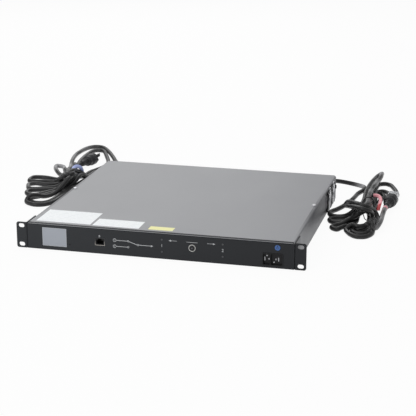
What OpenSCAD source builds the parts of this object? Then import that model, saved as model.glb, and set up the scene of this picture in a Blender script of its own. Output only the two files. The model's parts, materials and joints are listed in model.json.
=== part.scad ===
// 1U rack transfer switch: two supply cords in at the rear, outlet banks at the rear,
// a controls panel at the front and two side fans, in a folded sheet case.
// +X is to the right seen from the front, +Y is into the rack and +Z is up.

/* [Case] */
// Width of the case over its side walls
case_w = 444.5; // [438:0.5:448]
// Depth of the case from the panel's face to the rear panel's face
case_d = 415; // [405:1:480]
// Height of the case
case_h = 43.6; // [43:0.1:44.4]
// Sheet thickness of the cover
cover_t = 1.2; // [0.8:0.1:1.5]
// Sheet thickness of the tray
tray_t = 1.2; // [0.8:0.1:1.5]
// Outside radius of the cover's two long bends
cover_bend_r = 2.4; // [2:0.1:3]
// Gap between sheets that lie against each other
sheet_gap = 0.1; // [0.05:0.05:0.2]
// Height of the upstand along the tray's front edge
tray_upstand_h = 8.5; // [8:0.1:9]
// Side of the relief notches at the cover's rear corners
corner_notch = 3; // [2:0.5:4]

/* [Front panel] */
// Sheet thickness of the front panel
panel_t = 2; // [1.5:0.1:2.5]
// Depth of the flange along the panel's top
panel_flange_d = 12; // [8:1:16]
// Outside radius of the bend along the panel's top
panel_bend_r = 3; // [2.8:0.1:4]
// Distance between neighbouring studs behind the panel
panel_stud_pitch = 92; // [80:1:95]

/* [Rear panel] */
// Sheet thickness of the rear panel
rear_t = 1.5; // [1:0.1:2]
// Length of the flanges at the rear panel's sides
rear_flange_l = 14; // [12:1:18]

/* [Rack ears] */
// How far each ear reaches past its side wall
ear_reach = 19.05; // [18:0.05:20]
// Sheet thickness of the ears
ear_t = 2; // [1.5:0.1:2.5]
// Outside radius of the bend between an ear's two legs
ear_bend_r = 3.2; // [2.8:0.1:4]
// Length of the ear's leg along the case
ear_leg_d = 40; // [38:1:50]
// Radius of an ear's outer corners
ear_corner_r = 3.5; // [2:0.1:4.5]
// Distance from an ear's outer edge to the centre of its slots
slot_inset = 8.75; // [8:0.05:9.5]
// Distance between the upper and lower slots
slot_pitch_z = 31.75; // [31:0.05:32.5]
// Length of a slot
slot_l = 10.3; // [9:0.1:11]
// Width of a slot
slot_w = 7; // [6:0.1:7.4]

/* [Display] */
// Width of the display window
display_w = 42; // [38:0.5:44]
// Height of the display window
display_h = 31.5; // [28:0.5:32]
// Distance from the left side wall to the display window's centre
display_inset = 46.55; // [43:0.05:50]
// Thickness of the window
display_window_t = 1.8; // [1:0.1:2.4]
// Diameter of the reset pinhole
pinhole_d = 2; // [1.5:0.1:3]
// Distance from the window's edge to the pinhole's centre
pinhole_gap = 5.6; // [5:0.1:7]
// Height of the pinhole
pinhole_z = 11.2; // [10:0.1:14]

/* [Network socket] */
// Width of the metal shell
jack_w = 16.4; // [16:0.1:17]
// Height of the metal shell
jack_h = 12.4; // [12:0.1:13]
// Depth of the metal shell
jack_d = 18; // [15:0.5:21]
// Sheet thickness of the shell
jack_shell_t = 0.5; // [0.3:0.1:0.6]
// Distance from the display window's centre to the socket's centre
jack_gap = 78.3; // [72:0.1:84]
// Height of the socket's underside
jack_z = 14.2; // [13:0.1:16]

/* [Controls] */
// Place of the preference button across the panel
preference_x = 57.1; // [50:0.1:65]
// Height of the preference button
preference_z = 22.1; // [20:0.1:24]
// Diameter of the preference button
preference_d = 9.4; // [8:0.1:10]
// Outside diameter of the pale ring round the preference button
ring_d = 13.4; // [12.5:0.1:14]
// Width of the pale ring's visible face
ring_face_w = 1.9; // [1.6:0.1:2.1]
// How far the preference button stands proud of the ring
preference_proud = 0.8; // [0.4:0.1:1.5]
// Diameter of the power button
power_d = 8.8; // [7:0.1:9.6]
// Distance from the right side wall to the power button
power_inset = 26.75; // [24.3:0.05:32]
// Height of the power button
power_z = 34.2; // [33:0.1:34.5]
// How far the power button stands proud of the panel
power_proud = 0.6; // [0.4:0.1:1.5]
// Travel of both buttons
button_travel = 1.2; // [0.8:0.1:1.6]
// Clearance round each button
button_gap = 0.15; // [0.1:0.05:0.3]
// Distance of the lamp columns from the preference button
lamp_reach_x = 50.1; // [45:0.1:52]
// Distance between the upper and lower lamps
lamp_pitch_z = 20.4; // [18:0.1:21]
// Diameter of a lamp
lamp_d = 3; // [2.4:0.1:3.4]

/* [Service sockets] */
// Width of the twin socket block
service_w = 33; // [32:0.5:35]
// Height of the twin socket block
service_h = 20.4; // [19:0.1:21]
// Distance from the right side wall to the block's centre
service_inset = 34.35; // [31:0.05:38]
// Height of the block's centre
service_z = 14.2; // [13:0.1:14.5]
// Depth of the block behind the panel's face
service_d = 26; // [20:1:32]
// Depth of the well in front of each socket
service_well_d = 2.6; // [1.5:0.1:3.5]
// Thickness of the block's rim
service_lip_t = 0.8; // [0.5:0.1:1.2]

/* [Fans] */
// Side of a fan's square frame
fan_size = 40; // [38:0.5:40]
// Depth of a fan
fan_d = 20; // [15:0.5:28]
// Distance between the two fans
fan_pitch = 41; // [40.5:0.5:45]
// Distance from the first fan's centre to the rear panel's face
fan_inset = 90; // [85:1:120]
// Distance between a fan's screws
fan_screw_pitch = 32; // [31:0.1:32.5]
// Diameter of the fan openings in the side wall
fan_opening_d = 37; // [34:0.5:38]
// Diameter of the guards' wire
guard_wire_d = 1.8; // [1.2:0.1:2]
// Number of blades
fan_blades = 7; // [5:1:9]

/* [Boards] */
// Thickness of the circuit boards
board_t = 1.6; // [1:0.1:2]
// Height of the standoffs under the power board
power_standoff_h = 6; // [5:0.5:8]
// Width of the heat sink
heatsink_w = 118; // [90:1:120]
// Number of the heat sink's fins
heatsink_fins = 14; // [10:1:18]

/* [Outlets] */
// Number of outlets in each bank
bank_outlets = 4; // [3:1:4]
// Gap between the two banks
bank_mid_gap = 28; // [24:0.5:34]
// Gap between a bank's outlets and its breaker
bank_side_gap = 17; // [14:0.5:20]
// Depth of an outlet behind the rear panel
outlet_d = 24; // [20:0.5:26]

/* [Supply entries] */
// Diameter of the supply cords
cord_d = 8.4; // [7:0.1:9]
// Distance of each gland from its side wall
gland_inset = 25.25; // [22.3:0.05:32]
// Height of the glands, outlets and breakers at the rear
rear_row_z = 22; // [20:0.5:23]
// Length of a gland outside the rear panel
gland_l = 20; // [18:0.5:24]
// Distance between a gland and its breaker
breaker_gap = 34; // [29:0.5:39]
// Travel of a breaker's button when it trips
breaker_travel = 3.5; // [2:0.5:4]

/* [Cord hanks] */
// Height of the hanks
hank_h = 30; // [26:1:36]
// Half width of the left hank at its far end
hank_a_far_r = 40; // [38:1:42]
// Half width of the right hank at its near end
hank_b_near_r = 40; // [36:1:41]
// Width of the strands beside the plug that lies in the left hank
strand_band_w = 15; // [12:1:16]

/* [Hidden] */

$fn = 48;

// The origin lies under the middle of the unit's own box, so the front face is set back by half
// of the reach from the most proud control to the end of the glands.
front_reach = max(preference_proud, power_proud);
rear_reach = gland_l;
front_y = -(case_d + rear_reach - front_reach) / 2;

panel_mid_z = case_h / 2;
cover_half_w = case_w / 2;
ears_w = case_w + 2 * ear_reach;
slot_pitch_x = ears_w - 2 * slot_inset;
cover_under_z = case_h - cover_t;
tray_half_w = cover_half_w - cover_t - sheet_gap;
tray_inner_x = tray_half_w - tray_t;
tray_top_z = cover_under_z - sheet_gap;
tray_wall_h = case_h - cover_bend_r;
tray_front_y = panel_t + sheet_gap;
tray_rear_y = case_d - rear_t - sheet_gap;
panel_half_w = cover_half_w - sheet_gap;
panel_flange_half_w = tray_inner_x - sheet_gap;
panel_top_z = tray_top_z;
screw_clearance = 0.15;

ear_screw_r = 2;
ear_screw_head_r = 3.8;
ear_screw_yz = [[14, 9], [14, case_h - 9], [31, panel_mid_z]];
side_screw_inset = 7;
side_screw_z = 24;
side_screw_r = 1.9;
side_screw_head_r = 3.3;
side_screw_head_h = 2.1;
top_screw_inset = 6.3;
top_screw_y = case_d / 2 + 4.5;
top_screw_r = 1.9;
top_screw_head_r = 3.9;
top_screw_head_h = 1.9;
tab_l = 26;
tab_w = 14;
tab_bend_r = cover_bend_r - cover_t - sheet_gap;

panel_stud_x = [-1.5, -0.5, 0.5, 1.5];
panel_stud_shift = 9;
panel_stud_z = 5;
panel_stud_r = 1.5;
panel_stud_l = 7;
panel_nut_r = 2.9;
panel_nut_h = 2.4;

vent_slots = 9;
vent_pitch = 9;
vent_first_y = 90;
vent_w = 3.4;
vent_l = 26;

fan_first_y = case_d - fan_inset;
fan_z = panel_mid_z;
fan_wall_x = tray_inner_x - sheet_gap;
fan_inner_x = fan_wall_x - fan_d;
fan_bore_r = fan_size / 2 - 1.1;
fan_tip_r = fan_bore_r - 0.7;
fan_hub_r = 9;
fan_shaft_r = 1.5;
fan_bearing_gap = 0.05;
fan_base_t = 3;
fan_strut_w = 2.4;
fan_hub_l = fan_d - fan_base_t - 2;
fan_screw_hole_r = 1.75;
fan_screw_r = 1.5;
fan_screw_head_r = 2.8;
guard_ring_r = [18.2, 14.6, 11, 7.4];
guard_eye_r = 3.1;
guard_ring_lift = guard_wire_d * 0.85;
guard_eye_t = guard_wire_d * 0.8;
guard_leg_overlap = 0.8;

display_x = display_inset - cover_half_w;
display_z = panel_mid_z;
display_edge_gap = 0.15;
display_module_w = display_w + 7;
display_module_h = display_h + 2.5;
display_module_y = panel_t + sheet_gap;
display_module_d = 5;
pinhole_x = display_x + display_w / 2 + pinhole_gap;
upstand_start_x = pinhole_x + pinhole_d / 2 + sheet_gap;
display_board_y = display_module_y + display_module_d;
display_board_h = display_module_h + 1;
display_post_x = display_module_w / 2 + 4.8;
display_board_x0 = display_x - display_post_x - 3;
display_board_x1 = pinhole_x + 6;
display_posts = [
    [-display_post_x, -12.8], [-display_post_x, 12.8], [display_post_x, 2.2], [display_post_x, 12.8]
];
reset_switch_w = 4;
reset_switch_l = 3;

jack_x = display_x + jack_gap;
jack_opening_w = 11.7;
jack_opening_h = 6.8;
jack_opening_d = 13;
jack_notch_w = 6;
jack_notch_h = 2.4;
jack_cutout_gap = 0.3;
jack_front_y = -0.2;

ring_lip_r = ring_d / 2;
ring_bore_r = ring_lip_r - ring_face_w;
ring_back_r = ring_lip_r + 1.2;
ring_back_t = 1.4;
ring_front_proud = 0.1;
preference_r = preference_d / 2;
button_flange_t = 1;
button_flange_reach = 1;
switch_gap = 0.15;
switch_w = 6;
switch_h = 3.6;
controls_board_y = panel_t + 9;
ring_back_y = panel_t + ring_back_t;
preference_flange_y = ring_back_y + sheet_gap;
power_x = cover_half_w - power_inset;
power_r = power_d / 2;
power_flange_y = panel_t + sheet_gap;
button_stem_r = 2;
switch_face_y = controls_board_y - switch_h;
stem_end_y = switch_face_y - button_travel - switch_gap;
lamp_proud = 0.3;
lamp_flange_r = lamp_d / 2 + 0.5;
service_x = cover_half_w - service_inset;
service_left_x = service_x - service_w / 2;
upstand_gap = 6.4;
upstand_end_x = service_left_x - upstand_gap;
controls_board_x0 = -6;
controls_board_z0 = 14;
controls_board_step_gap = 5.4;
controls_board_step_x = service_left_x - controls_board_step_gap;
controls_board_inset = 16.25;
controls_board_end_x = cover_half_w - controls_board_inset;
controls_board_top_z = 39;
controls_board_low_z = 4;
controls_posts_x = [24, 90, 136];
controls_posts_z = [12, 36];
panel_post_r = 2.4;

service_corner_r = 1.2;
service_lip_w = 0.6;
service_wall = 1.4;
service_divider_w = 1.2;
service_divider_shift = -3.5;
service_contact_d = 12;
service_contact_face = 0.5;
service_slot_gap = 0.15;

jack_board_z = jack_z - board_t;
power_board_inset = 219;
power_board_y0 = case_d - power_board_inset;
board_row_gap = 33;
control_board_y0 = 13;
control_board_w = 132;
control_board_size = [control_board_w, power_board_y0 - board_row_gap - control_board_y0];
control_jack_reach = 52.6;
control_board_x0 = jack_x - control_jack_reach;
control_standoff_h = jack_board_z - tray_t;
standoff_r = 2.6;
standoff_inset = 6;
power_board_size = [282, 182];
power_board_x0 = -134;
power_board_z = tray_t + power_standoff_h;
power_board_top_z = power_board_z + board_t;
relay_size = [28, 15, 20];
relay_pitch = 36;
relay_first_x = -112;
relay_y = power_board_y0 + 149;
thyristor_size = [38, 26, 8];
thyristor_pitch = 60;
thyristor_y = power_board_y0 + 66;
heatsink_x0 = 22;
heatsink_y0 = power_board_y0 + 26;
heatsink_d = 96;
heatsink_base_t = 4;
heatsink_fin_t = 1.6;
heatsink_top_z = cover_under_z - 3;
transformer_size = [46, 38, 27];
transformer_x0 = -118;
transformer_y0 = power_board_y0 + 18;
capacitor_r = 8;
capacitor_h = 25;
capacitor_pitch = 21;
capacitor_x0 = -50;
capacitor_y = power_board_y0 + 34;

gland_x = cover_half_w - gland_inset;
breaker_x = gland_x - breaker_gap;
breaker_face_r = 8;
bank_room = breaker_x - breaker_face_r - bank_side_gap - bank_mid_gap / 2;
outlet_pitch = bank_room / bank_outlets;
bank_w = outlet_pitch * bank_outlets;
bank_x = (bank_mid_gap + bank_w) / 2;
bank_face_h = 27;
bank_face_t = 1.8;
bank_body_h = 22.4;
bank_edge = 2;
bank_cut_gap = 0.2;
outlet_w = 24.2;
outlet_h = 16.6;
outlet_chamfer = 4.2;
outlet_ring = 3;
outlet_ring_d = 17;
pin_slot = [2.4, 5];
pin_reach = 7;
pin_lift = 4;

breaker_face_t = 2;
breaker_bush_r = 5.6;
breaker_body = [15, 30, 17];
breaker_button_r = 3.2;
breaker_button_gap = 0.1;
breaker_bore_d = 16;
breaker_button_proud = 5;

ground_stud_r = 2;
ground_stud_l = 12;
ground_nut_r = 4;
ground_nut_t = 3.2;
ground_head_r = 4.6;
ground_head_t = 1.6;

cord_r = cord_d / 2;
gland_bore_r = cord_r + 0.25;
gland_thread_r = 8;
gland_hex_r = 11;
gland_hex_t = 5;
gland_dome_r = 10;
gland_inner_l = 10;
gland_nut_r = 11;
gland_nut_t = 4;
gland_hole_gap = 0.2;
rear_face_y = front_y + case_d;
cord_start_y = rear_face_y - gland_inner_l;
gland_mouth_y = rear_face_y + gland_l;

// A place beside the case: distance outside the side wall, distance behind the rear panel, height.
function beside(side, p) = [side * (cover_half_w + p[0]), rear_face_y + p[1], p[2]];
function beside_flat(side, p) = [side * (cover_half_w + p[0]), rear_face_y + p[1]];
function route_beside(side, route) = [for (p = route) beside(side, p)];

plug_flat_h = 22;
plug_a_at = beside(-1, [83.75, 80.1, plug_flat_h / 2]);
plug_a_turn = -9.5;
plug_b_at = beside(1, [102.35, -67.9, plug_flat_h / 2]);
plug_b_turn = -4;
hank_a_near = beside_flat(-1, [75.75, -169.9]);
hank_a_far = beside_flat(-1, [87.75, 212.1]);
hank_a_near_r = 30;
hank_a_hole_y = rear_face_y + 80.1;
hank_b_near = beside_flat(1, [54.75, -192.9]);
hank_b_far = beside_flat(1, [65.75, 102.1]);
hank_b_far_r = 22;
// Centre line of each supply cord where it isn't coiled, chosen by hand.
cord_a_lead_points = concat(
    [[-gland_x, cord_start_y, rear_row_z], [-gland_x, gland_mouth_y, rear_row_z]],
    route_beside(-1, [
        [-23.25, 38.1, 21], [-17.25, 56.1, 18.5], [-7.25, 75.1, 15], [4.75, 94.1, 11],
        [16.75, 114.1, 7.5], [27.75, 133.1, 5.2], [37.25, 152.1, 4.3], [45.75, 169.1, 4.2],
        [55.75, 190.1, 4.2]
    ])
);
cord_a_tail_points = concat(
    route_beside(-1, [[94.75, 40.1, 7], [91.25, 54.1, 8], [87.45, 67.1, 9.5]]), [plug_a_at]
);
cord_b_lead_points = concat(
    [[gland_x, cord_start_y, rear_row_z], [gland_x, gland_mouth_y, rear_row_z]],
    route_beside(1, [
        [-23.25, 37.1, 21], [-17.25, 53.1, 18], [-6.25, 68.1, 14], [7.75, 79.1, 9.5],
        [22.75, 83.1, 6], [35.75, 79.1, 4.5], [44.25, 68.1, 4.2], [48.75, 52.1, 4.2]
    ])
);
cord_b_tail_points = concat(
    route_beside(1, [
        [90.75, -203.9, 8], [96.75, -181.9, 10.5], [98.75, -157.9, 12.6], [99.05, -131.9, 12.8],
        [99.55, -105.9, 12.2], [100.65, -85.9, 11.5]
    ]), [plug_b_at]
);
plug_nose_l = 22;
plug_nose_r0 = 5.4;
plug_nose_r1 = 7.6;
plug_rib_pitch = 4.6;
plug_rib_cut = 0.7;
plug_body_l = 26;
plug_body_r = 12;
plug_waist_r = 10.2;
plug_waist_l = 8;
plug_shoulder_l = 13;
plug_blade = [1.6, 17, 6.4];
plug_blade_reach = 6.35;
plug_blade_z = 4.6;
plug_pin_r = 2.4;
plug_pin_drop = 11.9;
plug_pin_l = 20;
plug_cap_l = 23;
plug_cap_t = 0.9;
plug_cap_w = 19;
plug_cap_h = 20;
plug_cap_z = -0.8;
plug_cap_corner_r = 3;
cover_colour = [0.62, 0.62, 0.64];
tray_colour = [0.66, 0.66, 0.68];
panel_colour = [0.18, 0.18, 0.19];
bright_colour = [0.85, 0.85, 0.86];
black_colour = [0.09, 0.09, 0.1];
board_colour = [0.1, 0.35, 0.2];
cord_colour = [0.12, 0.12, 0.12];

// Places children drawn from the panel's face backwards into the row frame.
module in_case() {
    translate([0, front_y, 0]) children();
}

// Extrudes a front view, drawn in X and Z, backwards from depth y0.
module front_slab(y0, t) {
    translate([0, y0 + t, 0]) rotate([90, 0, 0]) linear_extrude(t) children();
}

// Extrudes a side view, drawn in Y and Z, to the right from x0.
module side_slab(x0, t) {
    translate([x0, 0, 0]) rotate([90, 0, 90]) linear_extrude(t) children();
}

// A rod along +Y from y0 with its axis at x, z.
module rod_y(x, y0, z, r, l) {
    translate([x, y0 + l, z]) rotate([90, 0, 0]) cylinder(r = r, h = l);
}

// A rod along +X from x0 with its axis at y, z.
module rod_x(x0, y, z, r, l) {
    translate([x0, y, z]) rotate([0, 90, 0]) cylinder(r = r, h = l);
}

module rounded_rect(w, h, r) {
    square([w - 2 * r, h], center = true);
    square([w, h - 2 * r], center = true);
    for (sx = [-1, 1], sz = [-1, 1]) translate([sx * (w / 2 - r), sz * (h / 2 - r)]) circle(r);
}

// Profile of a quarter bend with its centre at the origin, in the lower left quadrant.
module bend_profile(r, t) {
    difference() {
        circle(r);
        if (r > t) circle(r - t);
        translate([0, -2 * r]) square(4 * r);
        translate([-2 * r, 0]) square(4 * r);
    }
}

// Section of a channel that is open downwards, with rounded bends at its top.
module channel_section(half_w, h, t, r) {
    difference() {
        union() {
            translate([-half_w, 0]) square([2 * half_w, h - r]);
            translate([-half_w + r, 0]) square([2 * (half_w - r), h]);
            for (s = [-1, 1]) translate([s * (half_w - r), h - r]) circle(r);
        }
        translate([-half_w + t, -1]) square([2 * (half_w - t), h - r + 1]);
        translate([-half_w + r, -1]) square([2 * (half_w - r), h - t + 1]);
        for (s = [-1, 1]) translate([s * (half_w - r), h - r]) circle(r - t);
    }
}

module fan_places() {
    for (i = [0, 1]) translate([fan_first_y + i * fan_pitch, fan_z]) children();
}

module fan_screw_places() {
    for (sy = [-1, 1], sz = [-1, 1]) translate([sy, sz] * fan_screw_pitch / 2) children();
}

// Openings through the right wall for the fans, drawn in Y and Z.
module fan_wall_holes() {
    fan_places() {
        circle(d = fan_opening_d);
        fan_screw_places() circle(fan_screw_hole_r);
    }
}

// Vent slots through the left wall, drawn in Y and Z.
module vent_holes() {
    for (i = [0 : vent_slots - 1])
        translate([vent_first_y + i * vent_pitch - vent_w / 2, panel_mid_z - vent_l / 2])
            square([vent_w, vent_l]);
}

module ear_screw_holes(r) {
    for (p = ear_screw_yz) translate(p) circle(r);
}

module base_tray() {
    tab_z = tray_top_z - tray_t;
    color(tray_colour) difference() {
        union() {
            translate([-tray_half_w, tray_front_y, 0])
                cube([2 * tray_half_w, tray_rear_y - tray_front_y, tray_t]);
            for (s = [-1, 1])
                translate([s > 0 ? tray_inner_x : -tray_half_w, tray_front_y, 0])
                    cube([tray_t, tray_rear_y - tray_front_y, tray_wall_h]);
            for (s = [0, 1]) mirror([s, 0, 0]) {
                translate([tray_half_w - tab_w, top_screw_y - tab_l / 2, tab_z])
                    cube([tab_w - tab_bend_r, tab_l, tray_t]);
                translate([tray_half_w - tab_bend_r, 0, tray_wall_h])
                    front_slab(top_screw_y - tab_l / 2, tab_l)
                        rotate(180) bend_profile(tab_bend_r, tray_t);
            }
            translate([upstand_start_x, tray_front_y, 0])
                cube([upstand_end_x - upstand_start_x, tray_t, tray_upstand_h]);
        }
        side_slab(tray_inner_x - 1, tray_t + 2) fan_wall_holes();
        side_slab(-tray_half_w - 1, tray_t + 2) vent_holes();
        for (x0 = [-tray_half_w - 1, tray_inner_x - 1]) side_slab(x0, tray_t + 2) {
            ear_screw_holes(ear_screw_r + screw_clearance);
            translate([case_d - side_screw_inset, side_screw_z]) circle(side_screw_r + screw_clearance);
        }
        for (s = [-1, 1])
            translate([s * (cover_half_w - top_screw_inset), top_screw_y, tab_z - 1])
                cylinder(r = top_screw_r + screw_clearance, h = tray_t + 2);
        for (i = panel_stud_x)
            rod_y(i * panel_stud_pitch + panel_stud_shift, tray_front_y - 1, panel_stud_z,
                  panel_stud_r + screw_clearance, tray_t + 2);
    }
}

module top_cover() {
    cover_front_y = 0.3;
    color(cover_colour) difference() {
        front_slab(cover_front_y, case_d - cover_front_y)
            channel_section(cover_half_w, case_h, cover_t, cover_bend_r);
        side_slab(cover_half_w - cover_t - 1, cover_t + 2) fan_wall_holes();
        side_slab(-cover_half_w - 1, cover_t + 2) vent_holes();
        for (x0 = [-cover_half_w - 1, cover_half_w - cover_t - 1]) side_slab(x0, cover_t + 2) {
            ear_screw_holes(ear_screw_r + screw_clearance);
            translate([case_d - side_screw_inset, side_screw_z]) circle(side_screw_r + screw_clearance);
        }
        for (s = [0, 1]) mirror([s, 0, 0]) {
            translate([cover_half_w - top_screw_inset, top_screw_y, cover_under_z - 1])
                cylinder(r = top_screw_r + screw_clearance, h = cover_t + 2);
            translate([cover_half_w - corner_notch, case_d - corner_notch, case_h - corner_notch])
                cube(2 * corner_notch);
            translate([cover_half_w - cover_bend_r, -1, -1])
                cube([2 * cover_bend_r, 1 + tray_front_y, case_h + 2]);
        }
    }
}

// Everything that is cut through the front panel, drawn in X and Z.
module panel_cutouts() {
    translate([display_x, display_z]) square([display_w, display_h], center = true);
    translate([pinhole_x, pinhole_z]) circle(d = pinhole_d);
    translate([jack_x, jack_z + jack_h / 2])
        square([jack_w + 2 * jack_cutout_gap, jack_h + 2 * jack_cutout_gap], center = true);
    translate([preference_x, preference_z]) circle(ring_lip_r + sheet_gap);
    translate([power_x, power_z]) circle(power_r + button_gap);
    lamp_places() circle(lamp_d / 2 + sheet_gap);
    translate([service_x, service_z])
        square([service_w, service_h] - (service_lip_w - sheet_gap) * [2, 2], center = true);
}

module lamp_places() {
    for (sx = [-1, 1], sz = [-1, 1])
        translate([preference_x + sx * lamp_reach_x, preference_z + sz * lamp_pitch_z / 2]) children();
}

// Face of the panel with the relief cuts at the ends of its top bend.
module panel_face() {
    corner_r = cover_bend_r;
    difference() {
        union() {
            translate([-panel_half_w, 0]) square([2 * panel_half_w, panel_top_z - corner_r]);
            translate([-panel_half_w + corner_r, 0]) square([2 * (panel_half_w - corner_r), panel_top_z]);
            for (s = [-1, 1]) translate([s * (panel_half_w - corner_r), panel_top_z - corner_r])
                circle(corner_r);
        }
        translate([-panel_flange_half_w, panel_top_z - panel_bend_r])
            square([2 * panel_flange_half_w, panel_bend_r + 1]);
    }
}

module front_panel() {
    color(panel_colour) {
        difference() {
            union() {
                front_slab(0, panel_t) panel_face();
                translate([-panel_flange_half_w, panel_bend_r, panel_top_z - panel_t])
                    cube([2 * panel_flange_half_w, panel_flange_d - panel_bend_r, panel_t]);
                translate([0, panel_bend_r, panel_top_z - panel_bend_r])
                    side_slab(-panel_flange_half_w, 2 * panel_flange_half_w)
                        mirror([0, 1]) bend_profile(panel_bend_r, panel_t);
            }
            front_slab(-1, panel_t + 2) panel_cutouts();
        }
        for (i = panel_stud_x)
            rod_y(i * panel_stud_pitch + panel_stud_shift, panel_t, panel_stud_z,
                  panel_stud_r, panel_stud_l);
    }
}

// Hexagonal posts that carry the display board and the controls board behind the panel.
module panel_standoffs() {
    color(bright_colour) {
        front_slab(panel_t, display_board_y - panel_t)
            for (p = display_posts) translate([display_x, display_z] + p) circle(panel_post_r, $fn = 6);
        front_slab(panel_t, controls_board_y - panel_t)
            for (x = controls_posts_x, z = controls_posts_z)
                translate([x, z]) circle(panel_post_r, $fn = 6);
    }
}

module panel_nuts() {
    color(bright_colour) for (i = panel_stud_x)
        translate([i * panel_stud_pitch + panel_stud_shift, 0, panel_stud_z])
            difference() {
                front_slab(tray_front_y + tray_t, panel_nut_h) circle(panel_nut_r, $fn = 6);
                rod_y(0, 0, 0, panel_stud_r + 0.03, 4 * panel_stud_l);
            }
}

module rear_panel() {
    flange_x = tray_inner_x - sheet_gap;
    rear_bottom_z = tray_t + sheet_gap;
    rear_h = cover_under_z - sheet_gap - rear_bottom_z;
    color(tray_colour) difference() {
        union() {
            translate([-flange_x, case_d - rear_t, rear_bottom_z]) cube([2 * flange_x, rear_t, rear_h]);
            for (s = [-1, 1])
                translate([s > 0 ? flange_x - rear_t : -flange_x, case_d - rear_flange_l, rear_bottom_z])
                    cube([rear_t, rear_flange_l, rear_h]);
        }
        front_slab(case_d - rear_t - 1, rear_t + 2) {
            for (s = [-1, 1]) {
                translate([s * bank_x, rear_row_z])
                    square([bank_w - 2 * bank_edge, bank_body_h] + 2 * bank_cut_gap * [1, 1], center = true);
                translate([s * breaker_x, rear_row_z]) circle(breaker_bush_r + bank_cut_gap);
                translate([s * gland_x, rear_row_z]) circle(gland_thread_r + gland_hole_gap);
            }
            translate([0, rear_row_z]) circle(ground_stud_r + screw_clearance);
        }
        for (x0 = [-flange_x - 1, flange_x - rear_t - 1]) side_slab(x0, rear_t + 2)
            translate([case_d - side_screw_inset, side_screw_z]) circle(side_screw_r + screw_clearance);
    }
}

// One ear at the right of the case: a bent leg along the side and a slotted leg to the front.
module rack_ear() {
    inner_x = cover_half_w + sheet_gap;
    outer_x = ears_w / 2;
    difference() {
        intersection() {
            linear_extrude(case_h) {
                translate([inner_x, ear_bend_r]) square([ear_t, ear_leg_d - ear_bend_r]);
                translate([inner_x + ear_bend_r, 0]) square([outer_x - inner_x - ear_bend_r, ear_t]);
                translate([inner_x + ear_bend_r, ear_bend_r]) bend_profile(ear_bend_r, ear_t);
            }
            front_slab(-1, ear_leg_d + 2)
                translate([0, panel_mid_z]) rounded_rect(ears_w, case_h, ear_corner_r);
        }
        front_slab(-1, ear_t + 2) for (sz = [-1, 1])
            translate([slot_pitch_x / 2, panel_mid_z + sz * slot_pitch_z / 2]) {
                square([slot_l - slot_w, slot_w], center = true);
                for (sx = [-1, 1]) translate([sx * (slot_l - slot_w) / 2, 0]) circle(d = slot_w);
            }
        for (p = ear_screw_yz) translate([inner_x, p[0], p[1]]) {
            rod_x(-1, 0, 0, ear_screw_r + screw_clearance, ear_t + 2);
            ear_countersink(screw_clearance);
        }
    }
}

// Cone of a countersunk head that ends flush with the outside of the ear's leg.
module ear_countersink(gap) {
    sink = ear_screw_head_r - ear_screw_r;
    translate([ear_t - sink, 0, 0]) rotate([0, 90, 0])
        cylinder(r1 = ear_screw_r + gap, r2 = ear_screw_head_r + gap, h = sink + gap / 2);
}

module rack_ear_right() {
    color(panel_colour) rack_ear();
}

module rack_ear_left() {
    color(panel_colour) mirror([1, 0, 0]) rack_ear();
}

module ear_screws() {
    inner_x = cover_half_w + sheet_gap;
    grip = cover_t + tray_t + 4;
    color(panel_colour) for (s = [0, 1]) mirror([s, 0, 0]) for (p = ear_screw_yz)
        translate([inner_x, p[0], p[1]]) {
            rod_x(-grip, 0, 0, ear_screw_r, grip + ear_t - 1);
            ear_countersink(0);
        }
}

module cover_side_screws() {
    grip = cover_t + tray_t + rear_t + 3;
    color(black_colour) for (s = [0, 1]) mirror([s, 0, 0])
        translate([cover_half_w, case_d - side_screw_inset, side_screw_z]) {
            rod_x(-grip, 0, 0, side_screw_r, grip + 1);
            rod_x(0, 0, 0, side_screw_head_r, side_screw_head_h);
        }
}

module cover_top_screws() {
    grip = cover_t + tray_t + 4;
    color(bright_colour) for (s = [-1, 1])
        translate([s * (cover_half_w - top_screw_inset), top_screw_y, case_h]) {
            translate([0, 0, -grip]) cylinder(r = top_screw_r, h = grip + 1);
            rotate_extrude() polygon([
                [0, 0], [top_screw_head_r, 0], [top_screw_head_r, 0.5 * top_screw_head_h],
                [0.7 * top_screw_head_r, top_screw_head_h], [0, top_screw_head_h]
            ]);
        }
}

// Fan frame, drawn at the wall with its bore along X.
module fan_frame(y) {
    base_x = fan_inner_x;
    difference() {
        union() {
            difference() {
                translate([base_x, y - fan_size / 2, fan_z - fan_size / 2]) cube([fan_d, fan_size, fan_size]);
                rod_x(base_x - 1, y, fan_z, fan_bore_r, fan_d + 2);
                side_slab(base_x - 1, fan_d + 2) translate([y, fan_z])
                    fan_screw_places() circle(fan_screw_hole_r);
            }
            rod_x(base_x, y, fan_z, fan_hub_r, fan_base_t);
            for (a = [30, 150, 270]) translate([base_x, y, fan_z]) rotate([a, 0, 0])
                translate([0, fan_hub_r - 1, -fan_strut_w / 2])
                    cube([fan_base_t, fan_bore_r - fan_hub_r + 1.5, fan_strut_w]);
        }
        rod_x(base_x - 1, y, fan_z, fan_shaft_r + fan_bearing_gap, fan_base_t + 2);
    }
}

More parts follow.
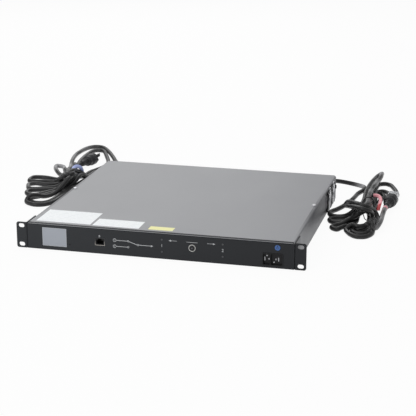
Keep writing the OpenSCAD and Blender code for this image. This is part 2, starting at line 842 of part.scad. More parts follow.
// Fan rotor: hub, shaft and pitched blades trimmed to a cylinder.
module fan_rotor(y) {
    hub_x = fan_inner_x + fan_base_t + 0.4;
    pitch_angle = 38;
    translate([hub_x, y, fan_z]) {
        rod_x(0, 0, 0, fan_hub_r, fan_hub_l);
        rod_x(-fan_base_t - 0.4, 0, 0, fan_shaft_r, fan_base_t + 1);
        intersection() {
            for (i = [0 : fan_blades - 1]) rotate([i * 360 / fan_blades, 0, 0])
                translate([fan_hub_l / 2, fan_hub_r - 1, 0]) rotate([0, pitch_angle, 0])
                    translate([-fan_hub_l * 0.55, 0, -0.6])
                        cube([fan_hub_l * 1.1, fan_tip_r - fan_hub_r + 4, 1.2]);
            rod_x(0.5, 0, 0, fan_tip_r, fan_hub_l - 1);
        }
    }
}

// Wire guard outside the wall: rings on four legs that end in screw eyes.
module fan_guard(y) {
    eye_reach = fan_screw_pitch / 2 * sqrt(2);
    wire_r = guard_wire_d / 2;
    leg_x0 = min(guard_ring_r) - guard_leg_overlap;
    leg_l = eye_reach - guard_eye_r + guard_leg_overlap - leg_x0;
    translate([cover_half_w + wire_r, y, fan_z]) rotate([0, 90, 0]) {
        for (r = guard_ring_r) translate([0, 0, guard_ring_lift])
            rotate_extrude() translate([r, 0]) circle(wire_r, $fn = 8);
        for (a = [45 : 90 : 315]) rotate([0, 0, a]) {
            rod_x(leg_x0, 0, 0, wire_r, leg_l);
            translate([eye_reach, 0, -guard_eye_t / 2]) difference() {
                cylinder(r = guard_eye_r, h = guard_eye_t);
                translate([0, 0, -1]) cylinder(r = fan_screw_hole_r, h = guard_eye_t + 2);
            }
        }
    }
}

module fan_front_frame() {
    color(black_colour) fan_frame(fan_first_y);
}

module fan_rear_frame() {
    color(black_colour) fan_frame(fan_first_y + fan_pitch);
}

module fan_front_rotor() {
    color(black_colour) fan_rotor(fan_first_y);
}

module fan_rear_rotor() {
    color(black_colour) fan_rotor(fan_first_y + fan_pitch);
}

module fan_front_guard() {
    color(bright_colour) fan_guard(fan_first_y);
}

module fan_rear_guard() {
    color(bright_colour) fan_guard(fan_first_y + fan_pitch);
}

module fan_screws() {
    head_x = cover_half_w + (guard_wire_d + guard_eye_t) / 2;
    color(black_colour) for (i = [0, 1], sy = [-1, 1], sz = [-1, 1])
        translate([0, fan_first_y + i * fan_pitch + sy * fan_screw_pitch / 2,
                   fan_z + sz * fan_screw_pitch / 2]) {
            rod_x(fan_wall_x - 8, 0, 0, fan_screw_r, head_x - fan_wall_x + 9);
            rod_x(head_x, 0, 0, fan_screw_head_r, 1.8);
        }
}

module display_window() {
    color([0.66, 0.67, 0.72]) front_slab(panel_t + sheet_gap - display_window_t, display_window_t)
        translate([display_x, display_z])
            rounded_rect(display_w - 2 * display_edge_gap, display_h - 2 * display_edge_gap, 0.6);
}

module display_module() {
    color([0.3, 0.3, 0.32]) front_slab(display_module_y, display_module_d)
        translate([display_x, display_z])
            rounded_rect(display_module_w, display_module_h, 1);
}

module display_board() {
    color(board_colour)
        translate([display_board_x0, display_board_y, display_z - display_board_h / 2])
            cube([display_board_x1 - display_board_x0, board_t, display_board_h]);
}

module reset_switch() {
    tip_y = panel_t + 1.2;
    body_y = display_board_y - reset_switch_l;
    color(black_colour) {
        translate([pinhole_x - reset_switch_w / 2, body_y, pinhole_z - reset_switch_w / 2])
            cube([reset_switch_w, reset_switch_l, reset_switch_w]);
        rod_y(pinhole_x, tip_y, pinhole_z, 1.2, body_y - tip_y + 0.5);
    }
}

module network_jack_shell() {
    color(bright_colour) difference() {
        translate([jack_x - jack_w / 2, jack_front_y, jack_z]) cube([jack_w, jack_d, jack_h]);
        translate([jack_x - jack_w / 2 + jack_shell_t, jack_front_y - 1, jack_z + jack_shell_t])
            cube([jack_w, jack_d, jack_h] - [2 * jack_shell_t, -2, 2 * jack_shell_t]);
    }
}

module network_jack_insert() {
    insert_gap = 0.05;
    opening_z = jack_z + 2;
    inset = jack_shell_t + insert_gap;
    color(black_colour) difference() {
        translate([jack_x - jack_w / 2 + inset, 0, jack_z + inset])
            cube([jack_w - 2 * inset, jack_d - 1, jack_h - 2 * inset]);
        translate([jack_x - jack_opening_w / 2, -1, opening_z])
            cube([jack_opening_w, jack_opening_d + 1, jack_opening_h]);
        translate([jack_x - jack_notch_w / 2, -1, opening_z])
            cube([jack_notch_w, jack_opening_d + 1, jack_opening_h + jack_notch_h]);
    }
}

// Pale ring set into the panel round the preference button, held by a flange behind.
module preference_ring() {
    color([0.9, 0.9, 0.88]) difference() {
        union() {
            rod_y(preference_x, -ring_front_proud, preference_z, ring_lip_r, panel_t + ring_front_proud);
            rod_y(preference_x, panel_t, preference_z, ring_back_r, ring_back_t);
        }
        rod_y(preference_x, -1, preference_z, ring_bore_r, panel_t + ring_back_t + 2);
    }
}

module preference_button() {
    color(black_colour) {
        rod_y(preference_x, -preference_proud, preference_z, ring_bore_r - button_gap,
              preference_flange_y + preference_proud + 0.2);
        rod_y(preference_x, preference_flange_y, preference_z, ring_bore_r + button_flange_reach,
              button_flange_t);
        rod_y(preference_x, preference_flange_y, preference_z, button_stem_r,
              stem_end_y - preference_flange_y);
    }
}

module power_button() {
    color([0.25, 0.42, 0.7]) {
        rod_y(power_x, -power_proud, power_z, power_r, power_flange_y + power_proud + 0.2);
        rod_y(power_x, power_flange_y, power_z, power_r + button_flange_reach, button_flange_t);
        rod_y(power_x, power_flange_y, power_z, button_stem_r, stem_end_y - power_flange_y);
    }
}

module panel_switch(x, z) {
    translate([x - switch_w / 2, switch_face_y + 0.6, z - switch_w / 2])
        cube([switch_w, switch_h - 0.6, switch_w]);
    rod_y(x, switch_face_y, z, 1.7, 1);
}

module preference_switch() {
    color([0.2, 0.2, 0.2]) panel_switch(preference_x, preference_z);
}

module power_switch() {
    color([0.2, 0.2, 0.2]) panel_switch(power_x, power_z);
}

module indicator_lamps() {
    color([0.75, 0.76, 0.74]) for (sx = [-1, 1], sz = [-1, 1]) {
        x = preference_x + sx * lamp_reach_x;
        z = preference_z + sz * lamp_pitch_z / 2;
        rod_y(x, -lamp_proud, z, lamp_d / 2, controls_board_y + lamp_proud);
        rod_y(x, controls_board_y - 1.2, z, lamp_flange_r, 1.2);
    }
}

module controls_board() {
    color(board_colour) front_slab(controls_board_y, board_t) {
        translate([controls_board_x0, controls_board_low_z])
            square([controls_board_step_x - controls_board_x0,
                    controls_board_top_z - controls_board_low_z]);
        translate([controls_board_x0, service_z + service_h / 2 + 2])
            square([controls_board_end_x - controls_board_x0,
                    controls_board_top_z - service_z - service_h / 2 - 2]);
    }
}

// Contacts of the two service sockets, each with its kind and its place in the well.
service_contacts = [
    [["tall", -3.4, -0.4], ["round", 0, 4.9], ["short", 3.2, -0.4]],
    [["short", -1.4, -0.4], ["tall", 2.8, -0.4], ["round", -4.4, -5.4]]
];

module contact_shape(kind, gap) {
    if (kind == "tall") square([1.6, 6.2] + gap * [1, 1], center = true);
    if (kind == "short") square([1.8, 2.6] + gap * [1, 1], center = true);
    if (kind == "round") circle(d = 2.4 + gap);
}

// Width of well i and its centre: the left well is the narrow one.
function service_well_w(i) =
    service_w / 2 - service_wall - service_divider_w / 2 + (i == 0 ? 1 : -1) * service_divider_shift;
function service_well_x(i) =
    service_x + service_divider_shift
    + (i == 0 ? -1 : 1) * (service_divider_w + service_well_w(i)) / 2;

module service_contact_places(gap) {
    for (i = [0, 1], c = service_contacts[i])
        translate([service_well_x(i) + c[1], service_z + c[2]]) contact_shape(c[0], gap);
}

module service_socket_body() {
    color(black_colour) difference() {
        union() {
            front_slab(0, service_d) translate([service_x, service_z])
                rounded_rect(service_w - 2 * service_lip_w, service_h - 2 * service_lip_w,
                             service_corner_r);
            front_slab(-service_lip_t, service_lip_t) translate([service_x, service_z])
                rounded_rect(service_w, service_h, service_corner_r);
        }
        front_slab(-1, 1 + service_well_d) for (i = [0, 1])
            translate([service_well_x(i), service_z])
                rounded_rect(service_well_w(i), service_h - 2 * service_wall, service_corner_r);
        front_slab(-1, 1 + service_well_d + service_contact_d)
            service_contact_places(2 * service_slot_gap);
    }
}

module service_socket_contacts() {
    color(bright_colour)
        front_slab(service_well_d + service_contact_face, service_contact_d - service_contact_face)
            service_contact_places(0);
}

module control_board() {
    color(board_colour) translate([control_board_x0, control_board_y0, jack_board_z])
        cube([control_board_size[0], control_board_size[1], board_t]);
}

module power_board() {
    color(board_colour) translate([power_board_x0, power_board_y0, power_board_z])
        cube([power_board_size[0], power_board_size[1], board_t]);
}

module board_standoffs() {
    color(bright_colour) {
        for (fx = [0, 1], fy = [0, 1])
            translate([control_board_x0 + standoff_inset + fx * (control_board_size[0] - 2 * standoff_inset),
                       control_board_y0 + standoff_inset + fy * (control_board_size[1] - 2 * standoff_inset),
                       tray_t])
                cylinder(r = standoff_r, h = control_standoff_h, $fn = 6);
        for (fx = [0, 0.5, 1], fy = [0, 1])
            translate([power_board_x0 + standoff_inset + fx * (power_board_size[0] - 2 * standoff_inset),
                       power_board_y0 + standoff_inset + fy * (power_board_size[1] - 2 * standoff_inset),
                       tray_t])
                cylinder(r = standoff_r, h = power_standoff_h, $fn = 6);
    }
}

module transfer_relays() {
    color([0.75, 0.76, 0.78]) for (i = [0 : 3])
        translate([relay_first_x + i * relay_pitch, relay_y, power_board_top_z]) cube(relay_size);
}

module thyristor_modules() {
    color([0.15, 0.15, 0.16]) for (i = [0, 1])
        translate([heatsink_x0 + 12 + i * thyristor_pitch, thyristor_y, power_board_top_z])
            cube(thyristor_size);
}

module heatsink() {
    base_z = power_board_top_z + thyristor_size[2];
    fin_pitch = (heatsink_d - heatsink_fin_t) / (heatsink_fins - 1);
    color([0.7, 0.7, 0.72]) {
        translate([heatsink_x0, heatsink_y0, base_z]) cube([heatsink_w, heatsink_d, heatsink_base_t]);
        for (i = [0 : heatsink_fins - 1])
            translate([heatsink_x0, heatsink_y0 + i * fin_pitch, base_z])
                cube([heatsink_w, heatsink_fin_t, heatsink_top_z - base_z]);
    }
}

module supply_transformer() {
    color([0.3, 0.3, 0.33]) {
        translate([transformer_x0, transformer_y0, power_board_top_z]) cube(transformer_size);
        translate([transformer_x0 + 8, transformer_y0 - 6, power_board_top_z + 3])
            cube(transformer_size - [16, -12, 6]);
    }
}

module capacitors() {
    color([0.15, 0.18, 0.3]) for (i = [0 : 2])
        translate([capacitor_x0 + i * capacitor_pitch, capacitor_y, power_board_top_z])
            cylinder(r = capacitor_r, h = capacitor_h);
}

// Outline of an appliance outlet with its two chamfered upper corners.
module outlet_outline(w, h, c) {
    polygon([
        [-w / 2, -h / 2], [w / 2, -h / 2], [w / 2, h / 2 - c],
        [w / 2 - c, h / 2], [-w / 2 + c, h / 2], [-w / 2, h / 2 - c]
    ]);
}

module outlet_bank(x) {
    face_y = case_d + bank_face_t;
    color(black_colour) translate([x, 0, rear_row_z]) difference() {
        union() {
            front_slab(case_d, bank_face_t) rounded_rect(bank_w, bank_face_h, 1.5);
            front_slab(case_d - outlet_d, outlet_d)
                square([bank_w - 2 * bank_edge, bank_body_h], center = true);
        }
        for (i = [0 : bank_outlets - 1]) translate([(i - (bank_outlets - 1) / 2) * outlet_pitch, 0, 0]) {
            front_slab(face_y - outlet_ring_d, outlet_ring_d + 1) difference() {
                outlet_outline(outlet_w, outlet_h, outlet_chamfer);
                outlet_outline(outlet_w - 2 * outlet_ring, outlet_h - 2 * outlet_ring,
                               outlet_chamfer - outlet_ring * 0.6);
            }
            front_slab(face_y - outlet_ring_d, outlet_ring_d + 1) for (p = [-1, 0, 1])
                translate([p * pin_reach, p == 0 ? pin_lift / 2 : -pin_lift / 2])
                    square(pin_slot, center = true);
        }
    }
}

module outlet_bank_left() {
    outlet_bank(-bank_x);
}

module outlet_bank_right() {
    outlet_bank(bank_x);
}

module breaker_body(x) {
    color(black_colour) difference() {
        union() {
            rod_y(x, case_d, rear_row_z, breaker_face_r, breaker_face_t);
            rod_y(x, case_d - rear_t - 0.5, rear_row_z, breaker_bush_r, rear_t + 1);
            translate([x - breaker_body[0] / 2, case_d - rear_t - 0.1 - breaker_body[1],
                       rear_row_z - breaker_body[2] / 2]) cube(breaker_body);
        }
        rod_y(x, case_d + breaker_face_t - breaker_bore_d, rear_row_z,
              breaker_button_r + breaker_button_gap, breaker_bore_d + 1);
    }
}

module breaker_button(x) {
    inner_l = breaker_bore_d - breaker_travel - 0.2;
    color([0.75, 0.75, 0.72])
        rod_y(x, case_d + breaker_face_t - inner_l, rear_row_z, breaker_button_r,
              inner_l + breaker_button_proud);
}

module breaker_a_body() {
    breaker_body(-breaker_x);
}

module breaker_a_button() {
    breaker_button(-breaker_x);
}

module breaker_b_body() {
    breaker_body(breaker_x);
}

module breaker_b_button() {
    breaker_button(breaker_x);
}

module ground_stud() {
    color([0.78, 0.66, 0.36]) {
        rod_y(0, case_d - rear_t - ground_head_t, rear_row_z, ground_head_r, ground_head_t);
        rod_y(0, case_d - rear_t - ground_head_t, rear_row_z, ground_stud_r, ground_stud_l + rear_t);
        front_slab(case_d, ground_nut_t) translate([0, rear_row_z]) circle(ground_nut_r, $fn = 6);
    }
}

// Cable gland: threaded spigot through the rear panel, a hex collar and a domed nut.
module gland(x) {
    color(black_colour) difference() {
        union() {
            rod_y(x, case_d - gland_inner_l, rear_row_z, gland_thread_r, gland_inner_l + 1);
            front_slab(case_d, gland_hex_t) translate([x, rear_row_z]) circle(gland_hex_r, $fn = 6);
            translate([x, case_d, rear_row_z]) rotate([-90, 0, 0]) rotate_extrude() polygon([
                [0, 0], [gland_dome_r, 0], [gland_dome_r, 0.6 * gland_l],
                [gland_dome_r - 2.6, 0.86 * gland_l], [cord_r + 1.6, gland_l], [0, gland_l]
            ]);
        }
        rod_y(x, case_d - gland_inner_l - 1, rear_row_z, gland_bore_r, gland_inner_l + gland_l + 2);
    }
}

module gland_a() {
    gland(-gland_x);
}

module gland_b() {
    gland(gland_x);
}

module gland_nuts() {
    color(black_colour) for (s = [-1, 1]) difference() {
        front_slab(case_d - rear_t - gland_nut_t, gland_nut_t)
            translate([s * gland_x, rear_row_z]) circle(gland_nut_r, $fn = 6);
        rod_y(s * gland_x, case_d - 3 * gland_nut_t, rear_row_z, gland_thread_r + 0.05, 4 * gland_nut_t);
    }
}

function unit(v) = v / norm(v);

function tangent(p, i) =
    unit((i < len(p) - 1 ? p[i + 1] : p[i]) - (i > 0 ? p[i - 1] : p[i]));

// Ring of points round place i of a route, square to the route there.
function route_ring(p, i, r, sides) =
    let (t = tangent(p, i), side = unit(cross(t, [0, 0, 1])), up = cross(side, t))
    [for (k = [0 : sides - 1]) p[i] + r * (cos(k * 360 / sides) * side + sin(k * 360 / sides) * up)];

// Tube swept along a route's own points.
module route_tube(p, r, sides = 10) {
    rings = len(p);
    points = [for (i = [0 : rings - 1]) each route_ring(p, i, r, sides)];
    walls = [
        for (i = [0 : rings - 2], k = [0 : sides - 1])
            let (a = i * sides + k, b = i * sides + (k + 1) % sides)
            each [[a, b, b + sides], [a, b + sides, a + sides]]
    ];
    first = [for (k = [sides - 1 : -1 : 0]) k];
    last = [for (k = [0 : sides - 1]) (rings - 1) * sides + k];
    polyhedron(points, concat([first, last], walls), convexity = 6);
}

// Arc of radius r round a centre, as a list of points.
function arc_points(centre, r, from, to, steps = 24) =
    [for (i = [0 : steps]) let (a = from + (to - from) * i / steps) centre + r * [cos(a), sin(a)]];

// Outline of a hank: two round ends of radius r0 and r1 with straight sides that touch both.
module hank_outline(near, far, r0, r1) {
    run = far - near;
    heading = atan2(run[1], run[0]);
    lean = acos((r0 - r1) / norm(run));
    polygon(concat(
        arc_points(near, r0, heading + lean, heading + 360 - lean),
        arc_points(far, r1, heading - lean, heading + lean)
    ));
}

module cord_a_lead() {
    color(cord_colour) route_tube(cord_a_lead_points, cord_r);
}

module cord_a_tail() {
    color(cord_colour) route_tube(cord_a_tail_points, cord_r);
}

module cord_a_hank() {
    hole_share = (hank_a_hole_y - hank_a_near[1]) / (hank_a_far[1] - hank_a_near[1]);
    hole_near = hank_a_near + (hank_a_far - hank_a_near) * hole_share;
    hole_near_r = hank_a_near_r + (hank_a_far_r - hank_a_near_r) * hole_share - strand_band_w;
    color(cord_colour) linear_extrude(hank_h) difference() {
        hank_outline(hank_a_near, hank_a_far, hank_a_near_r, hank_a_far_r);
        hank_outline(hole_near, hank_a_far, hole_near_r, hank_a_far_r - strand_band_w);
    }
}

module cord_b_lead() {
    color(cord_colour) route_tube(cord_b_lead_points, cord_r);
}

module cord_b_tail() {
    color(cord_colour) route_tube(cord_b_tail_points, cord_r);
}

module cord_b_hank() {
    color(cord_colour) linear_extrude(hank_h)
        hank_outline(hank_b_near, hank_b_far, hank_b_near_r, hank_b_far_r);
}

// Moulded plug along +Y: ribbed strain relief, waisted grip, two blades and a ground pin.
module supply_plug(at, turn) {
    ribs = floor((plug_nose_l - 3) / plug_rib_pitch);
    body_end = plug_nose_l + plug_body_l;
    translate(at) rotate([0, 0, turn]) {
        color(black_colour) difference() {
            rotate([-90, 0, 0]) rotate_extrude() polygon([
                [0, 0], [plug_nose_r0, 0], [plug_nose_r1, plug_nose_l],
                [plug_waist_r, plug_nose_l + 2], [plug_waist_r, plug_nose_l + plug_waist_l],
                [plug_body_r, plug_nose_l + plug_shoulder_l], [plug_body_r, body_end], [0, body_end]
            ]);
            rotate([-90, 0, 0]) for (i = [0 : ribs - 1])
                rotate_extrude() translate([plug_nose_r0 + plug_rib_cut, 2.5 + i * plug_rib_pitch])
                    square([plug_body_r, plug_rib_pitch / 2]);
            for (s = [-1, 1]) translate([-plug_body_r, -1, s > 0 ? plug_flat_h / 2 : -plug_body_r - 1])
                cube([2 * plug_body_r, body_end + 2, plug_body_r + 1 - plug_flat_h / 2]);
        }
        color(bright_colour) {
            for (s = [-1, 1])
                translate([
                    s * plug_blade_reach - plug_blade[0] / 2, body_end - 1,
                    plug_blade_z - plug_blade[2] / 2
                ]) cube(plug_blade + [0, 1, 0]);
            rod_y(0, body_end - 1, plug_blade_z - plug_pin_drop, plug_pin_r, plug_pin_l + 1);
        }
    }
}

// Clear cap over the blades: an open box with round edges that pushes against the plug's face.
module plug_cap(at, turn) {
    color([0.85, 0.88, 0.9, 0.4]) translate(at) rotate([0, 0, turn])
        translate([0, plug_nose_l + plug_body_l, plug_cap_z]) difference() {
            front_slab(0, plug_cap_l) rounded_rect(plug_cap_w, plug_cap_h, plug_cap_corner_r);
            front_slab(-1, plug_cap_l - plug_cap_t + 1) rounded_rect(
                plug_cap_w - 2 * plug_cap_t, plug_cap_h - 2 * plug_cap_t,
                plug_cap_corner_r - plug_cap_t
            );
        }
}

module cord_a_plug() {
    supply_plug(plug_a_at, plug_a_turn);
}

module cord_b_plug() {
    supply_plug(plug_b_at, plug_b_turn);
}

module cord_b_cap() {
    plug_cap(plug_b_at, plug_b_turn);
}

in_case() base_tray();
in_case() top_cover();
in_case() front_panel();
in_case() rear_panel();
in_case() rack_ear_left();
in_case() rack_ear_right();
in_case() ear_screws();
in_case() cover_side_screws();
in_case() cover_top_screws();
in_case() panel_nuts();
in_case() panel_standoffs();
in_case() fan_front_frame();
in_case() fan_front_rotor();
in_case() fan_front_guard();
in_case() fan_rear_frame();
in_case() fan_rear_rotor();
in_case() fan_rear_guard();
in_case() fan_screws();
in_case() display_window();
in_case() display_module();
in_case() display_board();
in_case() reset_switch();
in_case() network_jack_shell();
in_case() network_jack_insert();
in_case() preference_ring();
in_case() preference_button();
in_case() preference_switch();
in_case() power_button();
in_case() power_switch();
in_case() indicator_lamps();
in_case() controls_board();
in_case() service_socket_body();
in_case() service_socket_contacts();
in_case() control_board();
in_case() power_board();
in_case() board_standoffs();
in_case() transfer_relays();
in_case() thyristor_modules();
in_case() heatsink();
in_case() supply_transformer();
in_case() capacitors();
in_case() outlet_bank_left();
in_case() outlet_bank_right();
in_case() breaker_a_body();
in_case() breaker_a_button();
in_case() breaker_b_body();
in_case() breaker_b_button();
in_case() ground_stud();
in_case() gland_a();
in_case() gland_b();
in_case() gland_nuts();
cord_a_lead();
cord_a_hank();
cord_a_tail();
cord_a_plug();
cord_b_lead();
cord_b_hank();
cord_b_tail();
cord_b_plug();
cord_b_cap();
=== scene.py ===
import json
import math
import bpy
import bmesh
from mathutils import Matrix, Vector


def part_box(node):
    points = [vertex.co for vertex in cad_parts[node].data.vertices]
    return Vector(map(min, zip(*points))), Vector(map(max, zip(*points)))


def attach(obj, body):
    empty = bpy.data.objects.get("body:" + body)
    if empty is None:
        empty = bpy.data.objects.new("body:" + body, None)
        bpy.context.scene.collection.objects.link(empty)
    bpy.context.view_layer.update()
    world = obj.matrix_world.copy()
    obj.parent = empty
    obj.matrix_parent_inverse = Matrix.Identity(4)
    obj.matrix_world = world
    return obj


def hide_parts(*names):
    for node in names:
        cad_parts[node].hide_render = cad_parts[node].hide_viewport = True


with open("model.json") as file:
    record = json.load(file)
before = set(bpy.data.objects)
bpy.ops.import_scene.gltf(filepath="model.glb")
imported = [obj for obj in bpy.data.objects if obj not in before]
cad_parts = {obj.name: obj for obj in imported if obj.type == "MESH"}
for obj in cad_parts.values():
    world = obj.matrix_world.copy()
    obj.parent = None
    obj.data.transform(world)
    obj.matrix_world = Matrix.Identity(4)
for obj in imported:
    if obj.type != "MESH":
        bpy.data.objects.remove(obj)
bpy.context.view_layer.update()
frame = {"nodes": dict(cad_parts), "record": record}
print("frame loaded:", len(frame["nodes"]), "nodes")


# camera at the height and side that shows the panel, the cover and the fans
cameraSetup = {"place": (0.5665, -2.1087, 0.6754), "azimuth": 14.33, "elevation": 16.67, "lens": 112.3}


def makeCamera(setup):
    bpy.ops.object.camera_add(location=setup["place"], rotation=(
        math.radians(90 - setup["elevation"]), 0, math.radians(setup["azimuth"])))
    camera = bpy.context.object
    camera.name = "camera"
    camera.data.sensor_width = 36
    camera.data.lens = setup["lens"]
    camera.data.clip_end = 60
    bpy.context.scene.camera = camera


def deselectAll():
    bpy.ops.object.select_all(action="DESELECT")
    bpy.context.view_layer.objects.active = None


deselectAll()
makeCamera(cameraSetup)
print("camera placed")


